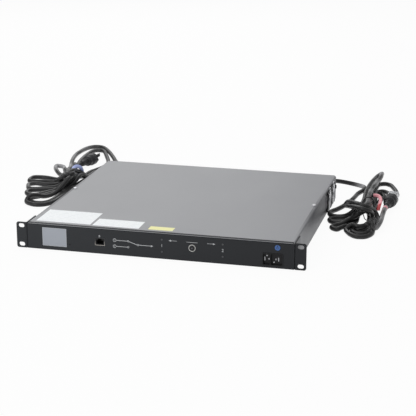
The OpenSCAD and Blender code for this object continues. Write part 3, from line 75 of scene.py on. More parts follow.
# supply cords: each is one run of flex from its gland, through its loops, to its plug
cordSetup = {
    "radius": 0.0042,
    "steps": 4,  # points between two points of the route
    "length": {"left": 3.28, "right": 3.17},
    # a point of only two numbers lies on the floor
    "leftRoute": [
        (-0.197, 0.1879, 0.022), (-0.197, 0.2019, 0.022), (-0.1969, 0.2159, 0.022),
        (-0.198, 0.2299, 0.0215), (-0.201, 0.2434, 0.0201), (-0.206, 0.2563, 0.0181),
        (-0.2125, 0.2686, 0.0159), (-0.2196, 0.2804, 0.0134), (-0.227, 0.292, 0.011),
        (-0.2342, 0.3039, 0.0088), (-0.2412, 0.3158, 0.007), (-0.2483, 0.3278, 0.0055),
        (-0.2547, 0.3402, 0.0046), (-0.2609, 0.3528), (-0.2672, 0.3653), (-0.2737, 0.3777),
        (-0.2803, 0.39), (-0.2872, 0.4022), (-0.2945, 0.4142), (-0.302, 0.426), (-0.3103, 0.4372),
        (-0.3211, 0.446), (-0.3347, 0.4464), (-0.3442, 0.4365), (-0.3486, 0.4232),
        (-0.3507, 0.4094), (-0.3517, 0.3954), (-0.3518, 0.3814), (-0.3508, 0.3674),
        (-0.3489, 0.3536), (-0.3462, 0.3398), (-0.3429, 0.3262), (-0.3393, 0.3126),
        (-0.3355, 0.2991), (-0.3315, 0.2856), (-0.3275, 0.2721), (-0.3238, 0.2586),
        (-0.3204, 0.2454, 0.0079), (-0.3155, 0.2329, 0.012), (-0.3107, 0.2198, 0.0146),
        (-0.306, 0.2067, 0.0165), (-0.3021, 0.1932, 0.0181), (-0.3013, 0.1792, 0.0173),
        (-0.2981, 0.166, 0.0138), (-0.3006, 0.1545, 0.0061), (-0.3102, 0.1446), (-0.323, 0.1389),
        (-0.3369, 0.1393), (-0.3508, 0.1408), (-0.3601, 0.1316), (-0.3566, 0.1182), (-0.35, 0.1059),
        (-0.3374, 0.1037, 0.0043), (-0.3252, 0.1103), (-0.3136, 0.118), (-0.3031, 0.1272),
        (-0.2939, 0.1364, 0.0085), (-0.2867, 0.1458, 0.0161), (-0.2846, 0.1592, 0.0193),
        (-0.2858, 0.1733, 0.018), (-0.2899, 0.1867, 0.0161), (-0.2935, 0.1996, 0.011),
        (-0.2971, 0.2127, 0.0061), (-0.3011, 0.2263, 0.0047), (-0.3054, 0.2397, 0.0078),
        (-0.3101, 0.2521, 0.0134), (-0.3154, 0.2651, 0.0134), (-0.3171, 0.2781, 0.0077),
        (-0.3191, 0.2918, 0.0044), (-0.3217, 0.3058), (-0.3243, 0.3198), (-0.3265, 0.3338),
        (-0.3279, 0.3478), (-0.3287, 0.3619), (-0.3288, 0.376), (-0.3286, 0.3901),
        (-0.3279, 0.4041), (-0.3219, 0.4164), (-0.3085, 0.4165), (-0.2997, 0.4058),
        (-0.2938, 0.3931), (-0.288, 0.3804), (-0.2822, 0.3676), (-0.2765, 0.3548), (-0.271, 0.3419),
        (-0.2663, 0.3287), (-0.2634, 0.315), (-0.2627, 0.301), (-0.264, 0.287), (-0.2672, 0.2733),
        (-0.2715, 0.2599), (-0.2759, 0.2465), (-0.2771, 0.2325), (-0.2778, 0.2183),
        (-0.2787, 0.2043, 0.0058), (-0.2785, 0.191, 0.0106), (-0.2767, 0.1779, 0.0156),
        (-0.2759, 0.164, 0.0178), (-0.2757, 0.15, 0.0178), (-0.2789, 0.1368, 0.0149),
        (-0.2855, 0.1264, 0.0085), (-0.2937, 0.1165), (-0.3054, 0.1092), (-0.3183, 0.1045),
        (-0.3309, 0.0988), (-0.3429, 0.0921), (-0.3439, 0.0786), (-0.336, 0.0673),
        (-0.3228, 0.0663), (-0.3133, 0.0765), (-0.3063, 0.0886), (-0.2983, 0.1001),
        (-0.2902, 0.1106, 0.0083), (-0.2829, 0.1208, 0.0146), (-0.2795, 0.1327, 0.0209),
        (-0.2822, 0.1464, 0.0228), (-0.2893, 0.1586, 0.0239), (-0.2976, 0.1702, 0.0246),
        (-0.3047, 0.1827, 0.0242), (-0.31, 0.1951, 0.0193), (-0.3132, 0.2071, 0.012),
        (-0.3174, 0.2196, 0.0063), (-0.3227, 0.2327), (-0.3286, 0.2457), (-0.3349, 0.2584),
        (-0.3429, 0.2699, 0.0051), (-0.3554, 0.2695, 0.0059), (-0.3531, 0.256, 0.0058),
        (-0.3475, 0.2431, 0.0062), (-0.3403, 0.2309, 0.0055), (-0.332, 0.2195),
        (-0.3229, 0.2085, 0.0046), (-0.314, 0.1981, 0.0084), (-0.3049, 0.1888, 0.0144),
        (-0.2954, 0.1799, 0.0201), (-0.2878, 0.1684, 0.0235), (-0.28, 0.1567, 0.0251),
        (-0.274, 0.1444, 0.0286), (-0.2726, 0.1315, 0.031), (-0.2834, 0.1371, 0.0286),
        (-0.2905, 0.1492, 0.027), (-0.2987, 0.1588, 0.0204), (-0.3076, 0.1664, 0.0124),
        (-0.3174, 0.174, 0.0056), (-0.3297, 0.1804), (-0.343, 0.1849), (-0.357, 0.1856),
        (-0.3693, 0.1795, 0.0049), (-0.3717, 0.1665, 0.0044), (-0.3677, 0.1544), (-0.3542, 0.1533),
        (-0.3406, 0.1565), (-0.3269, 0.1587), (-0.3133, 0.158, 0.0062), (-0.3025, 0.1536, 0.014),
        (-0.292, 0.1472, 0.0206), (-0.2818, 0.1484, 0.0286), (-0.2807, 0.1621, 0.0298),
        (-0.2815, 0.1753, 0.025), (-0.2779, 0.1881, 0.0204), (-0.272, 0.1979, 0.0124),
        (-0.2698, 0.2096, 0.0051), (-0.2691, 0.2235), (-0.2686, 0.2375), (-0.2657, 0.251),
        (-0.2532, 0.2513), (-0.2511, 0.2377), (-0.2548, 0.2242), (-0.2592, 0.2109),
        (-0.2634, 0.1975), (-0.2671, 0.184), (-0.2686, 0.1701), (-0.2699, 0.1562),
        (-0.2704, 0.1422), (-0.2711, 0.1283), (-0.2743, 0.1146), (-0.2768, 0.1008),
        (-0.2776, 0.0868), (-0.2777, 0.0727), (-0.2778, 0.0587), (-0.2785, 0.0447), (-0.281, 0.031),
        (-0.2885, 0.0195), (-0.3019, 0.0172), (-0.3136, 0.0245), (-0.3226, 0.0351),
        (-0.3202, 0.0481), (-0.3109, 0.0584), (-0.3037, 0.0704), (-0.2975, 0.0828),
        (-0.2906, 0.095), (-0.2841, 0.1074), (-0.2805, 0.121), (-0.2763, 0.134, 0.0076),
        (-0.2712, 0.1458, 0.0136), (-0.269, 0.1591, 0.0178), (-0.2688, 0.1732, 0.0179),
        (-0.2633, 0.1828, 0.011), (-0.2596, 0.1729), (-0.2619, 0.1591), (-0.2626, 0.1451),
        (-0.2632, 0.1311), (-0.2656, 0.1173), (-0.2685, 0.1037), (-0.2698, 0.0898),
        (-0.2699, 0.0758), (-0.27, 0.0618), (-0.2705, 0.0478), (-0.2719, 0.0338), (-0.2764, 0.0206),
        (-0.2854, 0.01), (-0.2986, 0.0063), (-0.3114, 0.0116), (-0.3212, 0.0214, 0.0046),
        (-0.3187, 0.032, 0.0119), (-0.3098, 0.0427, 0.011), (-0.3029, 0.0542, 0.0061),
        (-0.2961, 0.0666), (-0.2891, 0.0791, 0.0058), (-0.283, 0.091, 0.011),
        (-0.2782, 0.1025, 0.0184), (-0.2749, 0.1148, 0.0252), (-0.2742, 0.129, 0.0254),
        (-0.2763, 0.1431, 0.024), (-0.2798, 0.1557, 0.0182), (-0.2839, 0.1671, 0.0106),
        (-0.2892, 0.1793, 0.0053), (-0.2956, 0.192), (-0.3024, 0.2044), (-0.3083, 0.2173),
        (-0.3123, 0.2308), (-0.3131, 0.2448), (-0.3118, 0.2579, 0.0086), (-0.306, 0.278, 0.011),
    ],
    "rightRoute": [
        (0.197, 0.1879, 0.022), (0.197, 0.2019, 0.022), (0.1969, 0.2159, 0.022),
        (0.198, 0.2299, 0.0215), (0.2015, 0.2433, 0.0197), (0.2077, 0.2555, 0.0169),
        (0.2162, 0.2662, 0.0139), (0.2265, 0.275, 0.0105), (0.239, 0.2803, 0.0072),
        (0.2526, 0.2797, 0.005), (0.2644, 0.2726), (0.2685, 0.2596), (0.2672, 0.2458),
        (0.2629, 0.2326), (0.26, 0.2191), (0.2586, 0.2052), (0.2572, 0.1914), (0.2553, 0.1776),
        (0.2529, 0.1638), (0.2502, 0.1502), (0.2469, 0.1366), (0.2428, 0.1233), (0.2378, 0.1103),
        (0.2323, 0.0974, 0.0047), (0.2297, 0.0838, 0.0051), (0.2343, 0.0709, 0.0048),
        (0.2476, 0.0692), (0.2592, 0.0768), (0.2673, 0.0878, 0.0069), (0.2733, 0.0996, 0.0117),
        (0.2773, 0.1129, 0.0132), (0.2789, 0.1269, 0.0128), (0.2792, 0.1407, 0.0099),
        (0.2788, 0.1541, 0.0053), (0.2777, 0.1681), (0.2773, 0.1823), (0.2767, 0.1964),
        (0.276, 0.2104, 0.0058), (0.2754, 0.2244, 0.0078), (0.2752, 0.2385, 0.0081),
        (0.2755, 0.2525, 0.0081), (0.2756, 0.2666, 0.008), (0.2762, 0.2806, 0.008),
        (0.277, 0.2946, 0.0079), (0.2782, 0.3085, 0.008), (0.2796, 0.3224, 0.0079),
        (0.2824, 0.336, 0.0089), (0.2912, 0.3328, 0.0161), (0.2926, 0.3189, 0.0177),
        (0.2936, 0.305, 0.0188), (0.2939, 0.291, 0.0195), (0.2936, 0.277, 0.0198),
        (0.2929, 0.2631, 0.0201), (0.292, 0.2491, 0.0203), (0.291, 0.2351, 0.0204),
        (0.2901, 0.2211, 0.0206), (0.2894, 0.2071, 0.0208), (0.289, 0.1931, 0.021),
        (0.2891, 0.1791, 0.0215), (0.2895, 0.1652, 0.022), (0.2902, 0.1512, 0.0225),
        (0.2913, 0.1372, 0.0228), (0.2927, 0.1233, 0.0235), (0.2944, 0.1094, 0.0238),
        (0.2936, 0.0955, 0.0231), (0.2973, 0.0827, 0.0191), (0.3013, 0.0762, 0.0075),
        (0.3025, 0.0631), (0.3039, 0.0493), (0.3017, 0.0356), (0.297, 0.0224), (0.2845, 0.0218),
        (0.28, 0.0346), (0.2824, 0.0482), (0.2819, 0.0618, 0.006), (0.2832, 0.0743, 0.0117),
        (0.2877, 0.0873, 0.0133), (0.2887, 0.101, 0.0115), (0.2879, 0.115, 0.0117),
        (0.2879, 0.129, 0.0114), (0.2878, 0.1429, 0.0101), (0.2865, 0.1567, 0.0079),
        (0.2855, 0.1704, 0.0052), (0.2859, 0.1844), (0.2861, 0.1984), (0.2856, 0.2125),
        (0.2852, 0.2265), (0.2862, 0.2405), (0.2879, 0.2544), (0.2889, 0.2685), (0.2892, 0.2825),
        (0.2915, 0.2962), (0.3027, 0.3034), (0.3135, 0.2952), (0.319, 0.2824), (0.3239, 0.2693),
        (0.3279, 0.2559), (0.3307, 0.2422), (0.3324, 0.2284), (0.3206, 0.228), (0.3144, 0.2405),
        (0.3047, 0.2498), (0.2944, 0.2419), (0.2936, 0.228), (0.2939, 0.214), (0.2944, 0.2),
        (0.2941, 0.186), (0.293, 0.1721, 0.0048), (0.2934, 0.1591, 0.0102),
        (0.2944, 0.1454, 0.0132), (0.2942, 0.1314, 0.015), (0.2926, 0.1174, 0.0163),
        (0.2893, 0.1037, 0.0179), (0.282, 0.092, 0.0159), (0.2771, 0.0812, 0.0083), (0.269, 0.0706),
        (0.2568, 0.0638), (0.2439, 0.0585), (0.2356, 0.0477), (0.2407, 0.0354), (0.2543, 0.0342),
        (0.2653, 0.0425), (0.2729, 0.0538, 0.0061), (0.28, 0.0626, 0.0144),
        (0.2852, 0.0744, 0.0195), (0.2964, 0.0752, 0.0159), (0.3064, 0.0672, 0.0105),
        (0.312, 0.0565, 0.0043), (0.3128, 0.0426), (0.3134, 0.0287), (0.3096, 0.0154),
        (0.3041, 0.0026), (0.2915, -0.0005), (0.2841, 0.0112), (0.275, 0.0218), (0.2718, 0.0352),
        (0.2766, 0.0471, 0.0086), (0.2844, 0.0562, 0.0157), (0.2912, 0.0652, 0.0242),
        (0.2958, 0.0782, 0.0264), (0.2993, 0.0918, 0.0238), (0.2994, 0.1047, 0.0172),
        (0.2986, 0.1179, 0.011), (0.2976, 0.1318, 0.0069), (0.2979, 0.1461, 0.0049),
        (0.2992, 0.1604, 0.0054), (0.2993, 0.1744, 0.0086), (0.2969, 0.1882, 0.0112),
        (0.2948, 0.2022, 0.012), (0.2954, 0.2163, 0.0118), (0.3041, 0.2245, 0.0065),
        (0.3108, 0.2137), (0.3086, 0.1999), (0.3067, 0.186), (0.3065, 0.1719), (0.3069, 0.1578),
        (0.306, 0.1437), (0.3051, 0.1296), (0.3036, 0.1156, 0.0047), (0.302, 0.1024, 0.0096),
        (0.3015, 0.0897, 0.0162), (0.3005, 0.0763, 0.0207), (0.2971, 0.0625, 0.0213),
        (0.2893, 0.0509, 0.0194), (0.2802, 0.0415, 0.0141), (0.27, 0.0324, 0.011),
        (0.2597, 0.0247, 0.0053), (0.2494, 0.0155), (0.2463, 0.0022), (0.2563, -0.0057),
        (0.262, 0.0059), (0.2699, 0.0155), (0.2791, 0.0052), (0.2837, -0.0079), (0.2903, -0.02),
        (0.3034, -0.0217), (0.3095, -0.0097), (0.3122, 0.004), (0.3181, 0.0167), (0.3211, 0.0304),
        (0.3211, 0.0444), (0.3201, 0.0584), (0.3162, 0.07, 0.009), (0.311, 0.0662, 0.0206),
        (0.3063, 0.0551, 0.0276), (0.3005, 0.0437, 0.0331), (0.2883, 0.0459, 0.036),
        (0.2804, 0.0574, 0.0343), (0.2735, 0.0693, 0.0319), (0.2679, 0.0817, 0.0287),
        (0.2628, 0.0942, 0.0249), (0.2582, 0.1069, 0.0212), (0.2529, 0.1134, 0.0132),
        (0.256, 0.1006, 0.0156), (0.2601, 0.0879, 0.0198), (0.2643, 0.0749, 0.0231),
        (0.2689, 0.0621, 0.0265), (0.2739, 0.0496, 0.0301), (0.2795, 0.0373, 0.0337),
        (0.2866, 0.0256, 0.0364), (0.2957, 0.0151, 0.0379), (0.3069, 0.0191, 0.0336),
        (0.3103, 0.0311, 0.0273), (0.3104, 0.038, 0.0158), (0.3064, 0.0292, 0.0067),
        (0.3031, 0.0159, 0.0085), (0.3027, 0.0025, 0.0119), (0.2929, -0.0061, 0.0121),
        (0.2811, 0.001, 0.0123), (0.2722, -0.0029, 0.0047), (0.2765, -0.0161), (0.2836, -0.0281),
        (0.2941, -0.037), (0.3075, -0.035), (0.3152, -0.0234), (0.3178, -0.0097),
        (0.3167, 0.0034, 0.007), (0.3147, 0.0022, 0.019), (0.3181, -0.0072, 0.0126),
        (0.322, 0.0045, 0.0087), (0.3246, 0.0182, 0.01), (0.3258, 0.0321, 0.0115),
        (0.326, 0.046, 0.0124), (0.3254, 0.06, 0.0128), (0.3248, 0.074, 0.0127),
        (0.3243, 0.088, 0.0123), (0.3239, 0.102, 0.0118), (0.324, 0.116, 0.0114),
        (0.3246, 0.13, 0.011),
    ],
}


def smoothRoute(route, steps):
    # a Catmull-Rom line through the points of a route
    spots = [Vector(spot if len(spot) == 3 else (*spot, cordSetup["radius"])) for spot in route]
    spots = [2 * spots[0] - spots[1]] + spots + [2 * spots[-1] - spots[-2]]
    line = []
    for index in range(1, len(spots) - 2):
        before, first, second, after = spots[index - 1:index + 3]
        for part in range(steps):
            t = part / steps
            line.append(0.5 * (2 * first + (second - before) * t
                               + (2 * before - 5 * first + 4 * second - after) * t ** 2
                               + (3 * first - before - 3 * second + after) * t ** 3))
    return line + [spots[-2]]


def makeFlex(name, line, radius, taper=None):
    # a tube along a line of close points; taper gives a radius factor for each point
    curve = bpy.data.curves.new(name, "CURVE")
    curve.dimensions = "3D"
    curve.bevel_depth = radius
    curve.bevel_resolution = 3
    curve.use_fill_caps = True
    spline = curve.splines.new("POLY")
    spline.points.add(len(line) - 1)
    for index, (point, spot) in enumerate(zip(spline.points, line)):
        point.co = (*spot, 1)
        point.radius = taper[index] if taper else 1.0
    flex = bpy.data.objects.new(name, curve)
    bpy.context.collection.objects.link(flex)
    deselectAll()
    flex.select_set(True)
    bpy.context.view_layer.objects.active = flex
    bpy.ops.object.convert(target="MESH")
    bpy.ops.object.shade_smooth()
    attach(flex, "case")
    return flex


leftLine = smoothRoute(cordSetup["leftRoute"], cordSetup["steps"])
rightLine = smoothRoute(cordSetup["rightRoute"], cordSetup["steps"])
cordLeft = makeFlex("cord_left", leftLine, cordSetup["radius"])
cordRight = makeFlex("cord_right", rightLine, cordSetup["radius"])
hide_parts("cord_a_lead", "cord_a_hank", "cord_a_tail")
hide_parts("cord_b_lead", "cord_b_hank", "cord_b_tail")
print("cords laid")


# shader building: a wire is a node's output that takes part in Python expressions
class Wire:
    def __init__(self, finish, node, output=0):
        self.finish = finish
        self.node = node
        self.socket = node.outputs[output]

    def out(self, output):
        return Wire(self.finish, self.node, output)

    def calc(self, operation, first, second=0.0):
        return self.finish.node("ShaderNodeMath", {"operation": operation}, {0: first, 1: second})

    def __add__(self, other):
        return self.calc("ADD", self, other)

    __radd__ = __add__

    def __sub__(self, other):
        return self.calc("SUBTRACT", self, other)

    def __rsub__(self, other):
        return self.calc("SUBTRACT", other, self)

    def __mul__(self, other):
        return self.calc("MULTIPLY", self, other)

    __rmul__ = __mul__

    def __truediv__(self, other):
        return self.calc("DIVIDE", self, other)

    def __rtruediv__(self, other):
        return self.calc("DIVIDE", other, self)

    def __pow__(self, other):
        return self.calc("POWER", self, other)

    def __lt__(self, other):
        return self.calc("LESS_THAN", self, other)

    def __gt__(self, other):
        return self.calc("GREATER_THAN", self, other)

    def __abs__(self):
        return self.calc("ABSOLUTE", self)


class Finish:
    def __init__(self, name, settings):
        self.material = bpy.data.materials.new(name)
        self.material.use_nodes = True
        self.tree = self.material.node_tree
        self.shader = self.tree.nodes["Principled BSDF"]
        for socket, value in settings.items():
            self.shader.inputs[socket].default_value = value
        self.spot = self.node("ShaderNodeTexCoord").out("Object")

    def node(self, kind, settings={}, inputs={}):
        # any other node: its own settings first, then the value or link of each socket
        made = self.tree.nodes.new(kind)
        for key, value in settings.items():
            setattr(made, key, value)
        for key, value in inputs.items():
            if isinstance(value, Wire):
                self.tree.links.new(value.socket, made.inputs[key])
            else:
                made.inputs[key].default_value = value
        return Wire(self, made)

    def feed(self, socket, wire):
        self.tree.links.new(wire.socket, self.shader.inputs[socket])

    def noise(self, scale, detail=2.0, spot=None):
        return self.node("ShaderNodeTexNoise", {}, {
            "Vector": spot or self.spot, "Scale": scale, "Detail": detail, "Roughness": 0.55})

    def blend(self, factor, first, second):
        return self.node("ShaderNodeMix", {"data_type": "RGBA"}, {
            0: factor, 6: first, 7: second}).out(2)

    def axes(self):
        parts = self.node("ShaderNodeSeparateXYZ", {}, {0: self.spot})
        return parts.out("X"), parts.out("Y"), parts.out("Z")

    def bump(self, height, distance):
        self.feed("Normal", self.node("ShaderNodeBump", {}, {
            "Height": height, "Distance": distance, "Strength": 1.0}))


def tone(red, green, blue):
    # a screen colour from 0 to 255 as the linear colour that a shader takes
    return tuple((c / 255 / 12.92) if c <= 10 else ((c / 255 + 0.055) / 1.055) ** 2.4
                 for c in (red, green, blue)) + (1.0,)


def step(wire, edge, width):
    # 0 below the edge and 1 above it, softly
    return wire.finish.node("ShaderNodeMapRange", {}, {
        "Value": wire, "From Min": edge - width, "From Max": edge + width})


# colour, its darker tone, roughness, metal share, grain size and grain depth in metres
plainFinishes = {
    "cover_paint": ((160, 161, 164), (153, 154, 157), 0.46, 0.0, 0.0009, 0.00004),
    "tray_steel": ((158, 159, 162), (148, 149, 153), 0.44, 0.0, 0.0009, 0.00004),
    "panel_paint": ((58, 60, 63), (45, 47, 50), 0.55, 0.0, 0.0007, 0.00005),
    "dark_screw": ((48, 48, 51), (30, 30, 33), 0.38, 0.55, 0.0006, 0.00003),
    "bright_screw": ((214, 214, 216), (186, 188, 192), 0.28, 1.0, 0.0008, 0.00002),
    "guard_chrome": ((246, 246, 249), (236, 237, 241), 0.3, 0.55, 0.003, 0.00001),
    "black_plastic": ((30, 30, 32), (20, 20, 22), 0.5, 0.0, 0.0006, 0.00003),
    "black_gloss": ((40, 41, 44), (30, 30, 33), 0.24, 0.0, 0.002, 0.00001),
    "circuit_board": ((22, 92, 52), (14, 66, 36), 0.4, 0.0, 0.002, 0.00003),
    "jack_metal": ((206, 206, 208), (176, 177, 181), 0.27, 1.0, 0.001, 0.00002),
    "white_plastic": ((226, 226, 222), (216, 216, 211), 0.3, 0.0, 0.001, 0.00001),
    "blue_plastic": ((74, 116, 182), (54, 94, 158), 0.3, 0.0, 0.001, 0.00002),
    "lamp_lens": ((92, 93, 96), (76, 77, 80), 0.3, 0.0, 0.0008, 0.00002),
    "contact_metal": ((196, 197, 200), (170, 171, 175), 0.3, 0.35, 0.001, 0.00002),
    "relay_plastic": ((186, 188, 192), (172, 174, 180), 0.42, 0.0, 0.0007, 0.00002),
    "heatsink_metal": ((196, 197, 200), (170, 171, 176), 0.38, 1.0, 0.0012, 0.00003),
    "transformer_steel": ((92, 88, 84), (58, 56, 56), 0.5, 0.4, 0.0005, 0.00006),
    "capacitor_sleeve": ((40, 48, 84), (28, 34, 64), 0.26, 0.0, 0.002, 0.00001),
    "breaker_plastic": ((206, 206, 196), (188, 188, 178), 0.42, 0.0, 0.0007, 0.00002),
    "plug_rubber": ((56, 57, 60), (38, 39, 41), 0.46, 0.0, 0.0008, 0.00004),
}
# how strongly a finish mirrors, where it is less than the usual half
plainShine = {"panel_paint": 0.22, "ear_paint": 0.22, "black_plastic": 0.25, "black_gloss": 0.3,
              "plug_rubber": 0.25, "cover_paint": 0.3, "tray_steel": 0.3, "lamp_lens": 0.25}
usualShine = 0.5
driftSetup = {"scale": 14.0, "share": 0.6, "gloss": 0.12, "grainGloss": 0.1}


def makeFinish(name, light, dark, roughness, metal, grain, depth):
    # a base that drifts between two tones, with a fine grain in its bump and its gloss
    finish = Finish(name, {"Metallic": metal, "Specular IOR Level": plainShine.get(name, usualShine)})
    drift = finish.noise(driftSetup["scale"], 3.0)
    fine = finish.noise(1 / grain, 2.0)
    mixed = drift * driftSetup["share"] + fine * (1 - driftSetup["share"])
    finish.colour = finish.blend(mixed, tone(*dark), tone(*light))
    finish.feed("Base Color", finish.colour)
    finish.feed("Roughness", (drift - 0.5) * driftSetup["gloss"]
                + (fine - 0.5) * driftSetup["grainGloss"] + roughness)
    finish.bump(fine, depth)
    return finish


finishes = {name: makeFinish(name, *values) for name, values in plainFinishes.items()}
print("plain finishes:", len(finishes))

# the fans are moulded in pale grey, and a painted shadow, a dark crescent, lies along the front of each frame
# and guard where the wall's opening shades it
fanFinish = ((248, 248, 250), (236, 237, 240), 0.3, 0.0, 0.001, 0.00002)
crescentShadowSetup = {"fans": ("fan_front_guard", "fan_rear_guard"), "shift": 0.008, "clear": 0.0165,
                 "reach": 0.0206, "dark": (14, 14, 16)}


def makeFanShadowFinish(name, values, setup):
    finish = makeFinish(name, *values)
    x, y, z = finish.axes()
    share = 0.0
    for guard in setup["fans"]:
        low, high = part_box(guard)
        middleY, middleZ = (low[1] + high[1]) / 2, (low[2] + high[2]) / 2
        span = ((y - middleY - setup["shift"]) ** 2.0 + (z - middleZ) ** 2.0) ** 0.5
        # painted shadow: a dark crescent in front of each guard's centre, outside the clear radius
        share = share + (span > setup["clear"]) * (y < middleY) * (y > middleY - setup["reach"])
    finish.feed("Base Color", finish.blend(share, finish.colour, tone(*setup["dark"])))
    return finish


finishes["fan_plastic"] = makeFinish("fan_plastic", *fanFinish)
finishes["fan_frame_shadowed"] = makeFanShadowFinish("fan_frame_shadowed", fanFinish, crescentShadowSetup)
finishes["guard_chrome"] = makeFanShadowFinish("guard_chrome", plainFinishes["guard_chrome"], crescentShadowSetup)

# painted shade: sheet metal that darkens along the middle of each side and across the cover towards the
# right, and a panel that darkens to the right
shadeSetup = {"side": 0.2165, "middle": -0.045, "reach": 0.13, "low": 0.012, "high": 0.036,
              "paintedTone": (84, 84, 88), "sideShare": 0.85, "topShare": 0.7,
              "coverShade": (139, 140, 144), "coverEdge": (0.06, 0.36), "coverShare": 0.75,
              "panelShade": (33, 34, 37), "panelEdge": (0.02, 0.22), "panelShare": 0.7}


def shadeSheet(finish, setup):
    # painted shade: the upright sides take the darker tone, most of it in the middle and near the top, and
    # the whole sheet grows darker towards the right
    x, y, z = finish.axes()
    along = 1 - step(abs(y - setup["middle"]), setup["reach"] * 0.6, setup["reach"] * 0.6)
    upper = step(z, (setup["low"] + setup["high"]) / 2, (setup["high"] - setup["low"]) / 2)
    share = step(abs(x), setup["side"], 0.0004) * along * (
        upper * setup["topShare"] + (1 - setup["topShare"]))
    far = step(x, *setup["coverEdge"]) * setup["coverShare"]
    colour = finish.blend(far, finish.colour, tone(*setup["coverShade"]))
    finish.feed("Base Color", finish.blend(share * setup["sideShare"], colour, tone(*setup["paintedTone"])))


def panelTone(finish, setup):
    # the panel's paint with painted shade, darker towards the right
    far = step(finish.axes()[0], *setup["panelEdge"]) * setup["panelShare"]
    return finish.blend(far, finish.colour, tone(*setup["panelShade"]))


for name in ("cover_paint", "tray_steel"):
    shadeSheet(finishes[name], shadeSetup)
finishes["panel_paint"].feed("Base Color", panelTone(finishes["panel_paint"], shadeSetup))

# ears: as the panel, with each leg's side face given a plain grey below its top edge, a painted highlight
# where light falls on that face
earSetup = {"from": 0.005, "top": 0.0431, "grey": (134, 135, 138)}


def makeEarFinish(setup):
    finish = makeFinish("ear_paint", *plainFinishes["panel_paint"])
    x, y, z = finish.axes()
    # painted highlight: the legs' side faces below the top edge take the lighter grey
    litLegMask = (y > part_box("rack_ear_right")[0][1] + setup["from"]) * (z < setup["top"])
    base = panelTone(finish, shadeSetup)
    finish.feed("Base Color", finish.blend(litLegMask, base, tone(*setup["grey"])))
    return finish


finishes["ear_paint"] = makeEarFinish(earSetup)

# pale line in the ring round the preference button, dark on both sides of the line
ringSetup = {"paint": ((232, 232, 228), (220, 220, 216), 0.35, 0.0, 0.001, 0.00001),
             "centre": (0.0571, 0.0221), "inner": 0.0044, "outer": 0.00575, "dark": (36, 37, 40)}


def makeRingFinish(setup):
    finish = makeFinish("ring_face", *setup["paint"])
    x, y, z = finish.axes()
    span = ((x - setup["centre"][0]) ** 2.0 + (z - setup["centre"][1]) ** 2.0) ** 0.5
    line = (span > setup["inner"]) * (span < setup["outer"])
    finish.feed("Base Color", finish.blend(line, tone(*setup["dark"]), finish.colour))
    return finish


finishes["ring_face"] = makeRingFinish(ringSetup)

# the network jack's shell: bright metal on the lower lip, with painted shade darker towards its top
shellShadeSetup = {"metal": ((228, 222, 214), (206, 200, 192), 0.3, 0.5, 0.001, 0.00002),
              "level": 0.0185, "soft": 0.0045, "dim": (78, 79, 82)}


def makeShellFinish(setup):
    finish = makeFinish("shell_metal", *setup["metal"])
    x, y, z = finish.axes()
    upper = step(z, setup["level"], setup["soft"])
    finish.feed("Base Color", finish.blend(upper, finish.colour, tone(*setup["dim"])))
    return finish


finishes["shell_metal"] = makeShellFinish(shellShadeSetup)

# display window: a pale screen inside a slightly lighter frame, under a clear gloss
screenSetup = {"half": (0.0196, 0.0144), "centre": (-0.1757, 0.0218), "frame": (176, 180, 186),
               "screen": (166, 171, 180), "cloud": (150, 156, 168), "roughness": 0.34}


def makeScreenFinish(setup):
    finish = Finish("display_plastic", {"Coat Weight": 0.5, "Coat Roughness": 0.08})
    x, y, z = finish.axes()
    inside = (abs(x - setup["centre"][0]) < setup["half"][0]) * (
        abs(z - setup["centre"][1]) < setup["half"][1])
    cloud = finish.noise(30.0, 1.0)
    colour = finish.blend(inside, tone(*setup["frame"]), tone(*setup["screen"]))
    finish.feed("Base Color", finish.blend(cloud * 0.12, colour, tone(*setup["cloud"])))
    finish.feed("Roughness", setup["roughness"] - inside * 0.14 + cloud * 0.05)
    finish.bump(finish.noise(1500.0), 0.00001)
    return finish


finishes["display_plastic"] = makeScreenFinish(screenSetup)

# flexible jacket: near black, with paler stretches of painted sheen where light catches the loops
jacketSetup = {
    "jacketBlack": (11, 11, 12), "paintedTone": (160, 160, 162), "roughness": 0.34,
    # middle of each paler stretch of painted sheen, how far it reaches and how strong it is
    "stretches": [
        (-0.349, 0.273, 0.006, 0.024, 0.90),
        (-0.350, 0.249, 0.006, 0.020, 0.80),
        (-0.338, 0.265, 0.004, 0.020, 0.70),
        (-0.350, 0.416, 0.004, 0.034, 0.45),
        (-0.348, 0.347, 0.004, 0.030, 0.55),
        (-0.329, 0.279, 0.004, 0.022, 0.50),
        (-0.272, 0.198, 0.012, 0.022, 0.55),
        (-0.313, 0.076, 0.004, 0.026, 0.12),
        (-0.357, 0.118, 0.004, 0.024, 0.20),
        (0.264, 0.273, 0.004, 0.016, 0.70),
        (0.293, 0.319, 0.018, 0.024, 0.75),
        (0.291, 0.242, 0.020, 0.024, 0.70),
        (0.289, 0.179, 0.021, 0.022, 0.60),
        (0.294, 0.109, 0.024, 0.020, 0.55),
        (0.259, 0.277, 0.004, 0.020, 0.35),
        (0.258, 0.198, 0.004, 0.020, 0.30),
        (0.324, 0.109, 0.012, 0.024, 0.70),
        (0.326, 0.046, 0.012, 0.026, 0.65),
        (0.322, 0.005, 0.009, 0.022, 0.35),
        (0.306, 0.144, 0.004, 0.014, 0.50),
        (0.279, 0.134, 0.012, 0.016, 0.45),
        (0.324, 0.269, 0.004, 0.014, 0.10),
    ],
}


